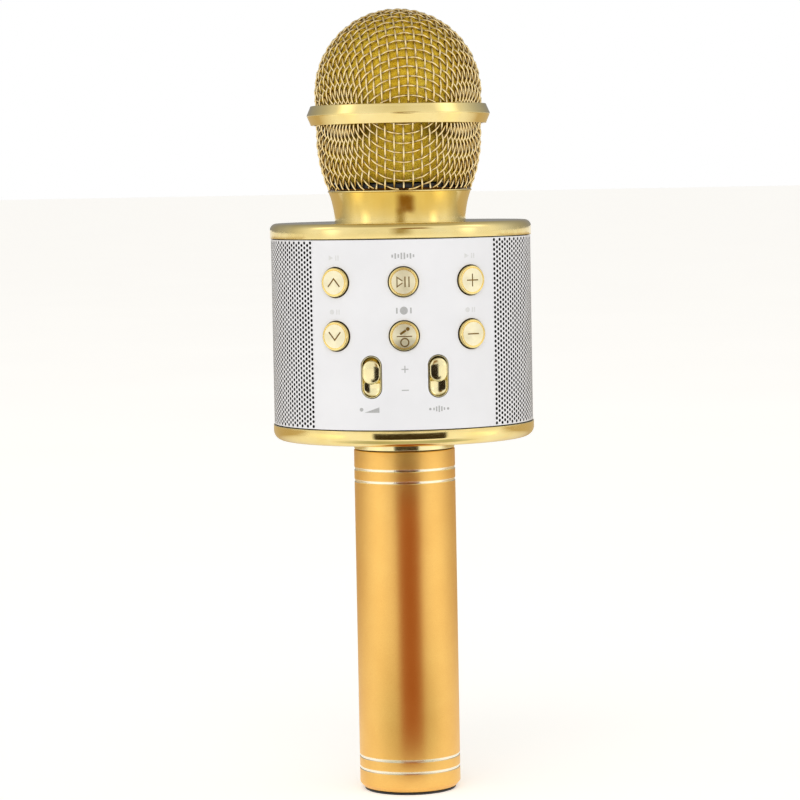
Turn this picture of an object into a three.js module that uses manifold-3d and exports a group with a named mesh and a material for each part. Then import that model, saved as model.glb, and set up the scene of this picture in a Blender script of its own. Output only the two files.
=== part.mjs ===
// Handheld karaoke microphone: a woven ball grille on a neck collar, a speaker drum with a front key
// panel, and a straight tube handle. Millimetres, +Z up, front towards -Y, origin at the middle of
// the handle's flat base.
import * as THREE from 'three';
import { mergeVertices } from 'three/addons/utils/BufferGeometryUtils.js';
import Module from 'manifold-3d';

const wasm = await Module();
wasm.setup();

// ---- Driving dimensions ------------------------------------------------------------------------
const TOTAL_HEIGHT = 255;
const GAP = 0.3; // between pieces that touch each other
const ROUND = 24; // facets round a large turned piece
const SMALL_ROUND = 16; // facets round a small turned piece
const PILL_END_FACETS = 6;
const LEAD_FACETS = 6;

const HANDLE_RADIUS = 16.5;
const HANDLE_WALL = 2;
const HANDLE_FOOT_Z = 1;
const HANDLE_TOP_Z = 111.95;
const FOOT_CHAMFER = [1.2, 1.4]; // inwards, upwards
const BASE_CAP_RADIUS = 15;
const BATTERY_RADIUS = 9.1;
const BATTERY_LENGTH = 65;

const DRUM_RADIUS = 42.5;
const DRUM_BOTTOM_Z = 115.75;
const DRUM_TOP_Z = 186.05;
const CAP_RADIUS = 42.5;
const CAP_RIM_HEIGHT = 5.1;
const TOP_CAP_FILLET = 2.1;
const BOTTOM_CAP_FILLET = 3.1;
const CAP_WALL = 1.6;
const PANEL_WALL = 1.8;
const GRILLE_RADIUS = 42.2;
const GRILLE_WALL = 0.8;
const FRONT_PANEL_HALF_ANGLE = 42.5; // degrees either side of the front
const REAR_PANEL_HALF_ANGLE = 22;
const GRILLE_EDGE_ANGLE = 0.65; // degrees between a side grille and a panel

const COLLAR_BASE_RADIUS = 21.35;
const COLLAR_LIP_RADIUS = 23.3;
const COLLAR_LIP_Z = 196.3;
const COLLAR_BORE = 20.3;
const COLLAR_MOUTH_BORE = 22.2;

const BALL_RADIUS = 27.2;
const BALL_WALL = 0.5;
const BASKET_RADIUS = 26.9;
const BASKET_DROP = 34.5; // half height of the ellipse that the lower basket follows
const BASKET_BELLY_Z = 214;
const BASKET_FOOT_Z = 196.95;
const BAND_Z = [217.5, 223.8];
const BAND_RADII = [28.5, 29.8]; // at its edges and at its ridge
const BASKET_JOINT_Z = 221; // the two baskets meet behind the band

const KEY_RADIUS = 4.55;
const KEY_HOLE_RADIUS = 4.9;
const KEY_FACE = 43.45; // distance of a key's face from the drum's axis
const KEY_ROWS_Z = [167.7, 150.8];
const KEY_COLUMN_ANGLE = 30.15;
const SLIDER_ANGLE = 14.4;
const SLIDER_Z = 137.9;
const SLIDER_TRAY = [6.4, 13.2];
const SLIDER_TRAY_WALL = 0.3;
const SLIDER_KNOB = [5.5, 7.6];
const SLIDER_REST = { left: 1.5, right: 2 }; // above the middle of the slot

const SPEAKER_Z = 151;
const SPEAKER_RIM_RADIUS = 20.6;
const SCREW_Y = 26;
const SCREW_ROUND = 12; // facets round the screws and their bosses

const REAR_LAYOUT_Z = { lens: 175, power: 165.8, usb: 153, card: 143.6, jack: 134.8, charge: 126.9 };

// ---- Levels worked out from the driving dimensions ----------------------------------------------
const TOP_CAP_FOOT_Z = DRUM_TOP_Z - CAP_RIM_HEIGHT + GAP;
const BOTTOM_CAP_LIP_Z = DRUM_BOTTOM_Z + CAP_RIM_HEIGHT;
const SKIN_Z = [BOTTOM_CAP_LIP_Z + GAP, TOP_CAP_FOOT_Z - GAP];
const PLATE_WALL = 2.4;
const CORE_Z = [SKIN_Z[0], TOP_CAP_FOOT_Z - 2 * GAP];
const CORE_INSIDE_Z = [CORE_Z[0] + PLATE_WALL, CORE_Z[1] - PLATE_WALL];
const PANEL_INNER_RADIUS = DRUM_RADIUS - PANEL_WALL;
const CORE_RADIUS = PANEL_INNER_RADIUS - GAP;
const HANDLE_BORE = HANDLE_RADIUS - HANDLE_WALL;
const BOARD_RADII = [36, 36.8]; // the curved board behind the keys
const BOARD_FACE = BOARD_RADII[1] + GAP;
const PORT_BOARD_Y = [29.6, 30.8];
const PORT_FACE = PORT_BOARD_Y[1] + GAP;
const SOCKET_MOUTH = DRUM_RADIUS - 0.6; // the metal sockets end just under the rear panel's skin

// ---- Materials ----------------------------------------------------------------------------------
const COLOURS = {
  wire: [0xe8cf86, 0.25, 1],
  goldChrome: [0xe2bd5c, 0.12, 1],
  goldAnodised: [0xe0a040, 0.38, 1],
  foam: [0xb89a1e, 0.95, 0],
  panel: [0xebebed, 0.4, 0],
  speakerMesh: [0xd9d9db, 0.45, 0.6],
  blackPlastic: [0x161616, 0.5, 0],
  greyPlastic: [0x8b8d90, 0.6, 0],
  rubber: [0x202022, 0.9, 0],
  steel: [0xb9bcc0, 0.35, 1],
  board: [0x1f6b3a, 0.6, 0],
  cone: [0x2b2b2d, 0.8, 0],
  lens: [0xcfe6ff, 0.2, 0],
  cell: [0x3a6fb0, 0.4, 0],
  lead: [0x7d1d1d, 0.7, 0],
};

const microphone = new THREE.Group();

function add(name, geometry, colour, parent = microphone) {
  const [color, roughness, metalness] = COLOURS[colour];
  const mesh = new THREE.Mesh(geometry, new THREE.MeshStandardMaterial({ color, roughness, metalness }));
  mesh.name = name;
  parent.add(mesh);
  return mesh;
}

// ---- Shape helpers ------------------------------------------------------------------------------
// A turned piece about +Z from [radius, height] points, counter-clockwise round the material.
function turned(points, facets = ROUND) {
  const profile = points.map(([r, z]) => new THREE.Vector2(r, z));
  return new THREE.LatheGeometry(profile, facets).rotateX(Math.PI / 2);
}

// The same for a ring that doesn't reach the axis: its profile closes on itself.
function turnedRing(points, facets = ROUND) {
  return turned([...points, points[0]], facets);
}

// Points on an arc in the profile plane, from one angle to another in degrees.
function arc(centreR, centreZ, radiusR, radiusZ, from, to, steps) {
  const points = [];
  for (let i = 0; i <= steps; i += 1) {
    const angle = THREE.MathUtils.degToRad(from + ((to - from) * i) / steps);
    points.push([centreR + radiusR * Math.cos(angle), centreZ + radiusZ * Math.sin(angle)]);
  }
  return points;
}

// An outline pushed along +Z. An arc gets twice as many facets as curveSegments says, hence the half.
function pushed(shape, from, to, arcFacets) {
  const options = { depth: to - from, bevelEnabled: false, curveSegments: arcFacets / 2 };
  return new THREE.ExtrudeGeometry(shape, options).translate(0, 0, from);
}

// A curved wall of the drum between two azimuths, in degrees from the front towards +X.
function wall(innerRadius, outerRadius, fromAzimuth, toAzimuth, [lowZ, highZ], facets) {
  const from = THREE.MathUtils.degToRad(fromAzimuth - 90);
  const to = THREE.MathUtils.degToRad(toAzimuth - 90);
  const shape = new THREE.Shape();
  shape.absarc(0, 0, outerRadius, from, to, false);
  shape.absarc(0, 0, innerRadius, to, from, true);
  return pushed(shape, lowZ, highZ, facets);
}

function pill(width, height, from, to) {
  const radius = width / 2;
  const reach = height / 2 - radius;
  const shape = new THREE.Shape();
  shape.absarc(0, reach, radius, 0, Math.PI, false);
  shape.absarc(0, -reach, radius, Math.PI, 2 * Math.PI, false);
  return pushed(shape, from, to, PILL_END_FACETS);
}

function block([lowX, lowY, lowZ], [highX, highY, highZ]) {
  const box = new THREE.BoxGeometry(highX - lowX, highY - lowY, highZ - lowZ);
  return box.translate((lowX + highX) / 2, (lowY + highY) / 2, (lowZ + highZ) / 2);
}

// A block centred on the local axis that points out of the drum, between two distances along it.
function outwardBlock(width, height, from, to) {
  return block([-width / 2, -height / 2, from], [width / 2, height / 2, to]);
}

function rod(radius, from, to, facets = SMALL_ROUND) {
  return turned([[0, from], [radius, from], [radius, to], [0, to]], facets);
}

// The local frame of a feature on the drum: X along the skin, Y up, Z out of the drum.
function facing(azimuth, z) {
  const holder = new THREE.Group();
  holder.position.z = z;
  holder.rotation.set(Math.PI / 2, 0, THREE.MathUtils.degToRad(azimuth), 'ZYX');
  holder.updateMatrix();
  return holder;
}

function faced(geometry, azimuth, z) {
  return geometry.clone().applyMatrix4(facing(azimuth, z).matrix);
}

function tube(points, radius, steps) {
  const route = new THREE.CatmullRomCurve3(points.map((p) => new THREE.Vector3(...p)));
  const section = new THREE.Shape().absarc(0, 0, radius, 0, 2 * Math.PI, false);
  return new THREE.ExtrudeGeometry(section, { extrudePath: route, steps, curveSegments: LEAD_FACETS / 2 });
}

// ---- Joining and cutting ------------------------------------------------------------------------
function toSolid(geometry) {
  const bare = geometry.clone();
  bare.deleteAttribute('normal');
  bare.deleteAttribute('uv');
  const merged = mergeVertices(bare, 1e-4);
  const corners = merged.index.array;
  const kept = [];
  for (let i = 0; i < corners.length; i += 3) {
    const [a, b, c] = [corners[i], corners[i + 1], corners[i + 2]];
    if (a !== b && b !== c && c !== a) {
      kept.push(a, b, c);
    }
  }
  const vertProperties = new Float32Array(merged.attributes.position.array);
  return new wasm.Manifold(new wasm.Mesh({ numProp: 3, vertProperties, triVerts: new Uint32Array(kept) }));
}

function toGeometry(solid) {
  const mesh = solid.getMesh();
  const geometry = new THREE.BufferGeometry();
  geometry.setAttribute('position', new THREE.BufferAttribute(new Float32Array(mesh.vertProperties), 3));
  geometry.setIndex(new THREE.BufferAttribute(new Uint32Array(mesh.triVerts), 1));
  geometry.computeVertexNormals();
  return geometry;
}

function joined(pieces) {
  return pieces.map(toSolid).reduce((sum, piece) => sum.add(piece));
}

function cut(solid, cutters) {
  return cutters.map(toSolid).reduce((left, cutter) => left.subtract(cutter), solid);
}

// ---- Ball grille --------------------------------------------------------------------------------
const BALL_CENTRE_Z = TOTAL_HEIGHT - BALL_RADIUS;
const ARC_STEPS = 5;

function basketRadius(z) {
  const drop = Math.max(0, BASKET_BELLY_Z - z) / BASKET_DROP;
  return BASKET_RADIUS * Math.sqrt(1 - drop * drop);
}

// Points down (or up) the lower basket's curve, moved inwards by an offset.
function basketLine(fromZ, toZ, offset, steps) {
  const points = [];
  for (let i = 0; i <= steps; i += 1) {
    const z = fromZ + ((toZ - fromZ) * i) / steps;
    points.push([basketRadius(z) - offset, z]);
  }
  return points;
}

const ballInside = BALL_RADIUS - BALL_WALL;
add('upper_grille', turned([
  ...arc(0, BALL_CENTRE_Z, ballInside, ballInside, 90, 0, ARC_STEPS),
  [ballInside, BASKET_JOINT_Z + GAP / 2],
  [BALL_RADIUS, BASKET_JOINT_Z + GAP / 2],
  ...arc(0, BALL_CENTRE_Z, BALL_RADIUS, BALL_RADIUS, 0, 90, ARC_STEPS),
]), 'wire');

const basketTopZ = BASKET_JOINT_Z - GAP / 2;
add('lower_grille', turnedRing([
  ...basketLine(BASKET_FOOT_Z, BASKET_BELLY_Z, 0, 4),
  [BASKET_RADIUS, basketTopZ],
  [BASKET_RADIUS - BALL_WALL, basketTopZ],
  ...basketLine(BASKET_BELLY_Z, BASKET_FOOT_Z, BALL_WALL, 4),
]), 'wire');

const bandInside = BALL_RADIUS + GAP;
add('grille_band', turnedRing([
  [bandInside, BAND_Z[0]],
  [BAND_RADII[0], BAND_Z[0]],
  [BAND_RADII[1], (BAND_Z[0] + BAND_Z[1]) / 2],
  [BAND_RADII[0], BAND_Z[1]],
  [bandInside, BAND_Z[1]],
]), 'goldChrome');

const FOAM_FOOT_Z = 198.8;
const POCKET_RADIUS = 14.2;
const POCKET_TOP_Z = 230;
const POCKET_CROWN = [[0.7, 1.5], [1, 5]]; // share of the radius, and drop from the top
const foamRadius = BASKET_RADIUS - BALL_WALL - GAP;
add('foam_windscreen', turned([
  [0, POCKET_TOP_Z],
  ...POCKET_CROWN.map(([share, drop]) => [POCKET_RADIUS * share, POCKET_TOP_Z - drop]),
  [POCKET_RADIUS, FOAM_FOOT_Z],
  ...basketLine(FOAM_FOOT_Z, BASKET_BELLY_Z, BALL_WALL + GAP, 4),
  ...arc(0, BALL_CENTRE_Z, foamRadius, foamRadius, 0, 90, ARC_STEPS),
]), 'foam');

// ---- Neck: collar, seal, threaded ring and capsule ----------------------------------------------
const CORE_TOP_CLEAR_Z = CORE_Z[1] + GAP;
const COLLAR_FLANGE_RADIUS = 25;
const COLLAR_FLANGE_TOP_Z = DRUM_TOP_Z - CAP_WALL - GAP;
const THREAD_RADIUS = COLLAR_BORE - 0.4; // clear of the bore by the play of a coarse thread
const THREAD_BORE = 18.4;
const THREAD_FOOT_Z = 189.8;
const MOUTH_FLOOR_Z = 194.4;
const THREAD_FLANGE_Z = [COLLAR_LIP_Z + GAP, 198.4];
const THREAD_FLANGE_RADIUS = basketRadius(THREAD_FLANGE_Z[0]) - BALL_WALL - GAP;

function flare(t) {
  const height = COLLAR_LIP_Z - DRUM_TOP_Z;
  return [
    COLLAR_BASE_RADIUS + (COLLAR_LIP_RADIUS - COLLAR_BASE_RADIUS) * t * t,
    DRUM_TOP_Z + height * t,
  ];
}

add('neck_collar', turnedRing([
  [COLLAR_BORE, CORE_TOP_CLEAR_Z],
  [COLLAR_FLANGE_RADIUS, CORE_TOP_CLEAR_Z],
  [COLLAR_FLANGE_RADIUS, COLLAR_FLANGE_TOP_Z],
  [COLLAR_BASE_RADIUS, COLLAR_FLANGE_TOP_Z],
  flare(0), flare(0.35), flare(0.7), flare(1),
  [COLLAR_MOUTH_BORE, COLLAR_LIP_Z],
  [COLLAR_MOUTH_BORE, MOUTH_FLOOR_Z],
  [COLLAR_BORE, MOUTH_FLOOR_Z],
]), 'goldChrome');

add('grille_seal', turnedRing([
  [COLLAR_BORE, MOUTH_FLOOR_Z + GAP],
  [COLLAR_MOUTH_BORE - GAP, MOUTH_FLOOR_Z + GAP],
  [COLLAR_MOUTH_BORE - GAP, COLLAR_LIP_Z],
  [COLLAR_BORE, COLLAR_LIP_Z],
]), 'rubber');

add('grille_thread_ring', turnedRing([
  [THREAD_BORE, THREAD_FOOT_Z],
  [THREAD_RADIUS, THREAD_FOOT_Z],
  [THREAD_RADIUS, THREAD_FLANGE_Z[0]],
  [THREAD_FLANGE_RADIUS, THREAD_FLANGE_Z[0]],
  [THREAD_FLANGE_RADIUS, THREAD_FLANGE_Z[1]],
  [THREAD_BORE, THREAD_FLANGE_Z[1]],
]), 'blackPlastic');

const CRADLE_SHOULDER_Z = THREAD_FOOT_Z - 2 * GAP;
const CRADLE_TOP_Z = 203;
const CRADLE_BORE = 9.5;
const CUSHION_RADIUS = 13.6;
add('capsule_cradle', turnedRing([
  [CRADLE_BORE, CORE_TOP_CLEAR_Z],
  [THREAD_RADIUS, CORE_TOP_CLEAR_Z],
  [THREAD_RADIUS, CRADLE_SHOULDER_Z],
  [CUSHION_RADIUS, CRADLE_SHOULDER_Z],
  [CUSHION_RADIUS, CRADLE_TOP_Z],
  [CRADLE_BORE, CRADLE_TOP_Z],
]), 'blackPlastic');

const CUSHION_Z = [CRADLE_TOP_Z + GAP, CRADLE_TOP_Z + 10.5];
const CAPSULE_RADIUS = 11.8;
const CAPSULE_SHOULDER_Z = CRADLE_TOP_Z + 1.6;
const CAPSULE_BACK_Z = 196.5;
const CAPSULE_BACK_RADIUS = CRADLE_BORE - 0.7;
const CAPSULE_CROWN = [[11.8, 221], [10.6, 223.2], [5.9, 224.6], [0, 225]];
add('capsule_cushion', turnedRing([
  [CRADLE_BORE, CUSHION_Z[0]],
  [CUSHION_RADIUS, CUSHION_Z[0]],
  [CUSHION_RADIUS, CUSHION_Z[1]],
  [CAPSULE_RADIUS + GAP, CUSHION_Z[1]],
  [CAPSULE_RADIUS + GAP, CAPSULE_SHOULDER_Z - GAP],
  [CRADLE_BORE, CAPSULE_SHOULDER_Z - GAP],
], SMALL_ROUND), 'rubber');

add('mic_capsule', turned([
  [0, CAPSULE_BACK_Z],
  [CAPSULE_BACK_RADIUS, CAPSULE_BACK_Z],
  [CAPSULE_BACK_RADIUS, CAPSULE_SHOULDER_Z],
  [CAPSULE_RADIUS, CAPSULE_SHOULDER_Z],
  ...CAPSULE_CROWN,
], SMALL_ROUND), 'steel');

// ---- Drum: caps, collar between drum and handle, skins ------------------------------------------
const CAP_INSIDE_RADIUS = CAP_RADIUS - CAP_WALL;
const INNER_FILLET = 1.4;
const INNER_FILLET_RADIUS = CAP_INSIDE_RADIUS - INNER_FILLET; // of the fillet's centre
const FILLET_STEPS = 3;

const topFilletZ = DRUM_TOP_Z - TOP_CAP_FILLET;
const topCeilingZ = DRUM_TOP_Z - CAP_WALL;
add('top_cap', turnedRing([
  [CAP_INSIDE_RADIUS, TOP_CAP_FOOT_Z],
  [CAP_RADIUS, TOP_CAP_FOOT_Z],
  ...arc(CAP_RADIUS - TOP_CAP_FILLET, topFilletZ, TOP_CAP_FILLET, TOP_CAP_FILLET, 0, 90, FILLET_STEPS),
  [COLLAR_BASE_RADIUS + GAP, DRUM_TOP_Z],
  [COLLAR_BASE_RADIUS + GAP, topCeilingZ],
  ...arc(INNER_FILLET_RADIUS, topCeilingZ - INNER_FILLET, INNER_FILLET, INNER_FILLET, 90, 0, 2),
]), 'goldChrome');

const SPIGOT_RADIUS = 13.2;
const CAP_BORE = SPIGOT_RADIUS + 0.4;
const SCREW_HEAD_RADIUS = 2.7;
const SCREW_SHANK_RADIUS = 1.5;
const SCREW_HEAD_Z = [116.2, 117.9];
const SCREW_TIP_Z = 125;
const SCREW_AZIMUTHS = [0, 180];
const SCREW_CLEARANCE = 0.4;
const BOSS_RADIUS = 4.2;
const BOSS_FOOT_Z = DRUM_BOTTOM_Z + 0.8; // inside the cap's floor
const PAST = 1; // how far a cutter runs past what it cuts

function atScrew(geometry, azimuth) {
  const y = azimuth === 0 ? -SCREW_Y : SCREW_Y;
  return geometry.clone().translate(0, y, 0);
}

const bottomFilletRadius = CAP_RADIUS - BOTTOM_CAP_FILLET;
const bottomFilletZ = DRUM_BOTTOM_Z + BOTTOM_CAP_FILLET;
const bottomFloorZ = DRUM_BOTTOM_Z + CAP_WALL;
const bottomCapShell = turnedRing([
  [CAP_BORE, DRUM_BOTTOM_Z],
  ...arc(bottomFilletRadius, bottomFilletZ, BOTTOM_CAP_FILLET, BOTTOM_CAP_FILLET, -90, 0, FILLET_STEPS),
  [CAP_RADIUS, BOTTOM_CAP_LIP_Z],
  [CAP_INSIDE_RADIUS, BOTTOM_CAP_LIP_Z],
  ...arc(INNER_FILLET_RADIUS, bottomFloorZ + INNER_FILLET, INNER_FILLET, INNER_FILLET, 0, -90, 2),
  [CAP_BORE, bottomFloorZ],
]);
const boss = rod(BOSS_RADIUS, BOSS_FOOT_Z, BOTTOM_CAP_LIP_Z, SCREW_ROUND);
const counterbore = turned([
  [0, DRUM_BOTTOM_Z - PAST],
  [SCREW_HEAD_RADIUS + SCREW_CLEARANCE, DRUM_BOTTOM_Z - PAST],
  [SCREW_HEAD_RADIUS + SCREW_CLEARANCE, SCREW_HEAD_Z[1] + GAP],
  [SCREW_SHANK_RADIUS + SCREW_CLEARANCE, SCREW_HEAD_Z[1] + GAP],
  [SCREW_SHANK_RADIUS + SCREW_CLEARANCE, BOTTOM_CAP_LIP_Z + PAST],
  [0, BOTTOM_CAP_LIP_Z + PAST],
], SCREW_ROUND);
const bottomCap = joined([bottomCapShell, ...SCREW_AZIMUTHS.map((a) => atScrew(boss, a))]);
const counterbores = SCREW_AZIMUTHS.map((a) => atScrew(counterbore, a));
add('bottom_cap', toGeometry(cut(bottomCap, counterbores)), 'goldChrome');

const screw = turned([
  [0, SCREW_HEAD_Z[0]],
  [SCREW_HEAD_RADIUS, SCREW_HEAD_Z[0]],
  [SCREW_HEAD_RADIUS, SCREW_HEAD_Z[1]],
  [SCREW_SHANK_RADIUS, SCREW_HEAD_Z[1]],
  [SCREW_SHANK_RADIUS, SCREW_TIP_Z],
  [0, SCREW_TIP_Z],
], SCREW_ROUND);
for (const [name, y] of [['front_case_screw', -SCREW_Y], ['rear_case_screw', SCREW_Y]]) {
  add(name, screw.clone(), 'steel').position.y = y;
}

// Features of the front panel: keys, and the slots that hold the slider trays.
const KEYS = [
  { name: 'up', azimuth: -KEY_COLUMN_ANGLE, z: KEY_ROWS_Z[0] },
  { name: 'play', azimuth: 0, z: KEY_ROWS_Z[0] },
  { name: 'plus', azimuth: KEY_COLUMN_ANGLE, z: KEY_ROWS_Z[0] },
  { name: 'down', azimuth: -KEY_COLUMN_ANGLE, z: KEY_ROWS_Z[1] },
  { name: 'record', azimuth: 0, z: KEY_ROWS_Z[1] },
  { name: 'minus', azimuth: KEY_COLUMN_ANGLE, z: KEY_ROWS_Z[1] },
];
const SLIDERS = [
  { name: 'left', azimuth: -SLIDER_ANGLE, rest: SLIDER_REST.left },
  { name: 'right', azimuth: SLIDER_ANGLE, rest: SLIDER_REST.right },
];
const THROUGH_SKIN = [PANEL_INNER_RADIUS - 3, DRUM_RADIUS + 2];
const FRONT_FACETS = 20;
const REAR_FACETS = 10;
const GRILLE_FACETS = 20;
const LENS_ROUND = 10;
const keyHole = rod(KEY_HOLE_RADIUS, ...THROUGH_SKIN, SMALL_ROUND);
const traySlot = pill(SLIDER_TRAY[0] + 2 * GAP, SLIDER_TRAY[1] + 2 * GAP, ...THROUGH_SKIN);
const frontSkin = wall(
  PANEL_INNER_RADIUS, DRUM_RADIUS, -FRONT_PANEL_HALF_ANGLE, FRONT_PANEL_HALF_ANGLE, SKIN_Z, FRONT_FACETS,
);
add('front_panel', toGeometry(cut(toSolid(frontSkin), [
  ...KEYS.map((key) => faced(keyHole, key.azimuth, key.z)),
  ...SLIDERS.map((slider) => faced(traySlot, slider.azimuth, SLIDER_Z)),
])), 'panel');

const USB_SIZE = [13.2, 5.8];
const CARD_MOUTH = [12.4, 2];
const JACK_RADIUS = 3.9;
const CHARGE_SIZE = [7.8, 2.9];
const LENS_RADIUS = 1.2;
const PORT_CLEARANCE = 2 * GAP;
const rearSkin = wall(
  PANEL_INNER_RADIUS, DRUM_RADIUS, 180 - REAR_PANEL_HALF_ANGLE, 180 + REAR_PANEL_HALF_ANGLE, SKIN_Z,
  REAR_FACETS,
);
const rearCutters = [
  faced(rod(LENS_RADIUS + GAP, ...THROUGH_SKIN, LENS_ROUND), 180, REAR_LAYOUT_Z.lens),
  faced(keyHole, 180, REAR_LAYOUT_Z.power),
  faced(
    outwardBlock(USB_SIZE[0] + PORT_CLEARANCE, USB_SIZE[1] + PORT_CLEARANCE, ...THROUGH_SKIN),
    180, REAR_LAYOUT_Z.usb,
  ),
  faced(outwardBlock(...CARD_MOUTH, ...THROUGH_SKIN), 180, REAR_LAYOUT_Z.card),
  faced(rod(JACK_RADIUS + GAP, ...THROUGH_SKIN), 180, REAR_LAYOUT_Z.jack),
  faced(
    outwardBlock(CHARGE_SIZE[0] + PORT_CLEARANCE, CHARGE_SIZE[1] + PORT_CLEARANCE, ...THROUGH_SKIN),
    180, REAR_LAYOUT_Z.charge,
  ),
];
add('rear_panel', toGeometry(cut(toSolid(rearSkin), rearCutters)), 'panel');

const grilleFrom = FRONT_PANEL_HALF_ANGLE + GRILLE_EDGE_ANGLE;
const grilleTo = 180 - REAR_PANEL_HALF_ANGLE - GRILLE_EDGE_ANGLE;
for (const [side, from, to] of [['right', grilleFrom, grilleTo], ['left', -grilleTo, -grilleFrom]]) {
  const mesh = wall(GRILLE_RADIUS - GRILLE_WALL, GRILLE_RADIUS, from, to, SKIN_Z, GRILLE_FACETS);
  add(`${side}_side_grille`, mesh, 'speakerMesh');
}

// ---- Core frame: end plates, key wall, posts and speaker baffles --------------------------------
const LEAD_HOLE = 10;
const BAFFLE_X = [30.4, 32.6];
const BAFFLE_HALF_WIDTH = 22.4;
const BAFFLE_HOLE = 18.9;
const KEY_WALL_RADII = [34.2, 35.7];
const KEY_WALL_HALF_ANGLE = 44;
const POST_RADII = [KEY_WALL_RADII[0], CORE_RADIUS];
const FRONT_POST_AZIMUTHS = [43, 49.5];
const REAR_POST_AZIMUTHS = [149, 156];
const SPEAKER_ROUND = 20;
const OVERLAP = 0.5; // how far a rib runs into the plates that it joins
const ribZ = [CORE_INSIDE_Z[0] - OVERLAP, CORE_INSIDE_Z[1] + OVERLAP];

function plate([lowZ, highZ], bore) {
  return turnedRing([[bore, lowZ], [CORE_RADIUS, lowZ], [CORE_RADIUS, highZ], [bore, highZ]]);
}

const baffle = block([BAFFLE_X[0], -BAFFLE_HALF_WIDTH, ribZ[0]], [BAFFLE_X[1], BAFFLE_HALF_WIDTH, ribZ[1]]);
const coreFrame = joined([
  plate([CORE_Z[0], CORE_INSIDE_Z[0]], LEAD_HOLE),
  plate([CORE_INSIDE_Z[1], CORE_Z[1]], LEAD_HOLE),
  wall(...KEY_WALL_RADII, -KEY_WALL_HALF_ANGLE, KEY_WALL_HALF_ANGLE, ribZ, 12),
  ...[FRONT_POST_AZIMUTHS, REAR_POST_AZIMUTHS].flatMap(([from, to]) => [
    wall(...POST_RADII, from, to, ribZ, 2),
    wall(...POST_RADII, -to, -from, ribZ, 2),
  ]),
  baffle,
  baffle.clone().rotateZ(Math.PI),
]);
const baffleHole = rod(BAFFLE_HOLE, BAFFLE_X[0] - PAST, BAFFLE_X[1] + PAST, SPEAKER_ROUND);
const plateHole = rod(
  SCREW_SHANK_RADIUS + SCREW_CLEARANCE, CORE_Z[0] - PAST, CORE_INSIDE_Z[0] + PAST, SCREW_ROUND,
);
add('core_frame', toGeometry(cut(coreFrame, [
  faced(baffleHole, 90, SPEAKER_Z),
  faced(baffleHole, -90, SPEAKER_Z),
  ...SCREW_AZIMUTHS.map((a) => atScrew(plateHole, a)),
])), 'greyPlastic');

// ---- Speakers -----------------------------------------------------------------------------------
// Points are [radius, distance out from the drum's axis], about the speaker's own axis.
const RIM_SPAN = [BAFFLE_X[1] + GAP, BAFFLE_X[1] + 1.5];
const MAGNET_RADIUS = 13.5;
const MAGNET_SPAN = [15.6, 23.1];
const BASKET_BACK = MAGNET_SPAN[1] + GAP;
const VENT_RADIUS = 6;
const COIL_RADII = [4.4, 5.2];
const COIL_BACK = 24.4;
const CONE_RADIUS = 15.2;
const SURROUND_RADIUS = 16.8;
const speakerFrame = turnedRing([
  [VENT_RADIUS, BASKET_BACK],
  [12, BASKET_BACK],
  [18.3, 30.9],
  [18.3, RIM_SPAN[0]],
  [SPEAKER_RIM_RADIUS, RIM_SPAN[0]],
  [SPEAKER_RIM_RADIUS, RIM_SPAN[1]],
  [17.9, RIM_SPAN[1]],
  [17.2, 31.6],
  [11.6, BASKET_BACK + 1.5],
  [VENT_RADIUS, BASKET_BACK + 1.5],
], SPEAKER_ROUND);
const speakerMagnet = rod(MAGNET_RADIUS, ...MAGNET_SPAN, SPEAKER_ROUND);
const speakerCone = turned([
  [0, 27.2],
  [COIL_RADII[0], 26.6],
  [COIL_RADII[0], COIL_BACK],
  [COIL_RADII[1], COIL_BACK],
  [COIL_RADII[1], 26.8],
  [CONE_RADIUS, 32],
  [SURROUND_RADIUS, 32.2],
  [SURROUND_RADIUS, 32.8],
  [CONE_RADIUS - 0.2, 32.7],
  [COIL_RADII[1] + 0.2, 27.6],
  [0, 29.4],
], SPEAKER_ROUND);
for (const [side, azimuth] of [['right', 90], ['left', -90]]) {
  const holder = facing(azimuth, SPEAKER_Z);
  add(`${side}_speaker_frame`, speakerFrame.clone(), 'blackPlastic', holder);
  add(`${side}_speaker_magnet`, speakerMagnet.clone(), 'steel', holder);
  add(`${side}_speaker_cone`, speakerCone.clone(), 'cone', holder);
  microphone.add(holder);
}

// ---- Keys, their switches, and the board behind them --------------------------------------------
const KEY_FLANGE_RADIUS = 5.5;
const KEY_STEM_RADIUS = 1.6;
const KEY_STEM_END = 38.7;
const KEY_FLANGE_SPAN = [39, 39.9];
const KEY_EDGE = 0.35;
const keyShape = turned([
  [0, KEY_STEM_END],
  [KEY_STEM_RADIUS, KEY_STEM_END],
  [KEY_STEM_RADIUS, KEY_FLANGE_SPAN[0]],
  [KEY_FLANGE_RADIUS, KEY_FLANGE_SPAN[0]],
  [KEY_FLANGE_RADIUS, KEY_FLANGE_SPAN[1]],
  [KEY_RADIUS, KEY_FLANGE_SPAN[1]],
  [KEY_RADIUS, KEY_FACE - KEY_EDGE],
  [KEY_RADIUS - KEY_EDGE, KEY_FACE],
  [0, KEY_FACE],
], SMALL_ROUND);

const SWITCH_SIZE = 5.2;
const SWITCH_TOP = 38.1;
const PLUNGER_RADIUS = 1.5;
const PLUNGER_ROUND = 10;
const PLUNGER_ROOT = 0.2; // inside the body
function switchShape(foot, bodyTop) {
  const body = outwardBlock(SWITCH_SIZE, SWITCH_SIZE, foot, bodyTop);
  const plunger = rod(PLUNGER_RADIUS, bodyTop - PLUNGER_ROOT, SWITCH_TOP, PLUNGER_ROUND);
  return toGeometry(joined([body, plunger]));
}

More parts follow.
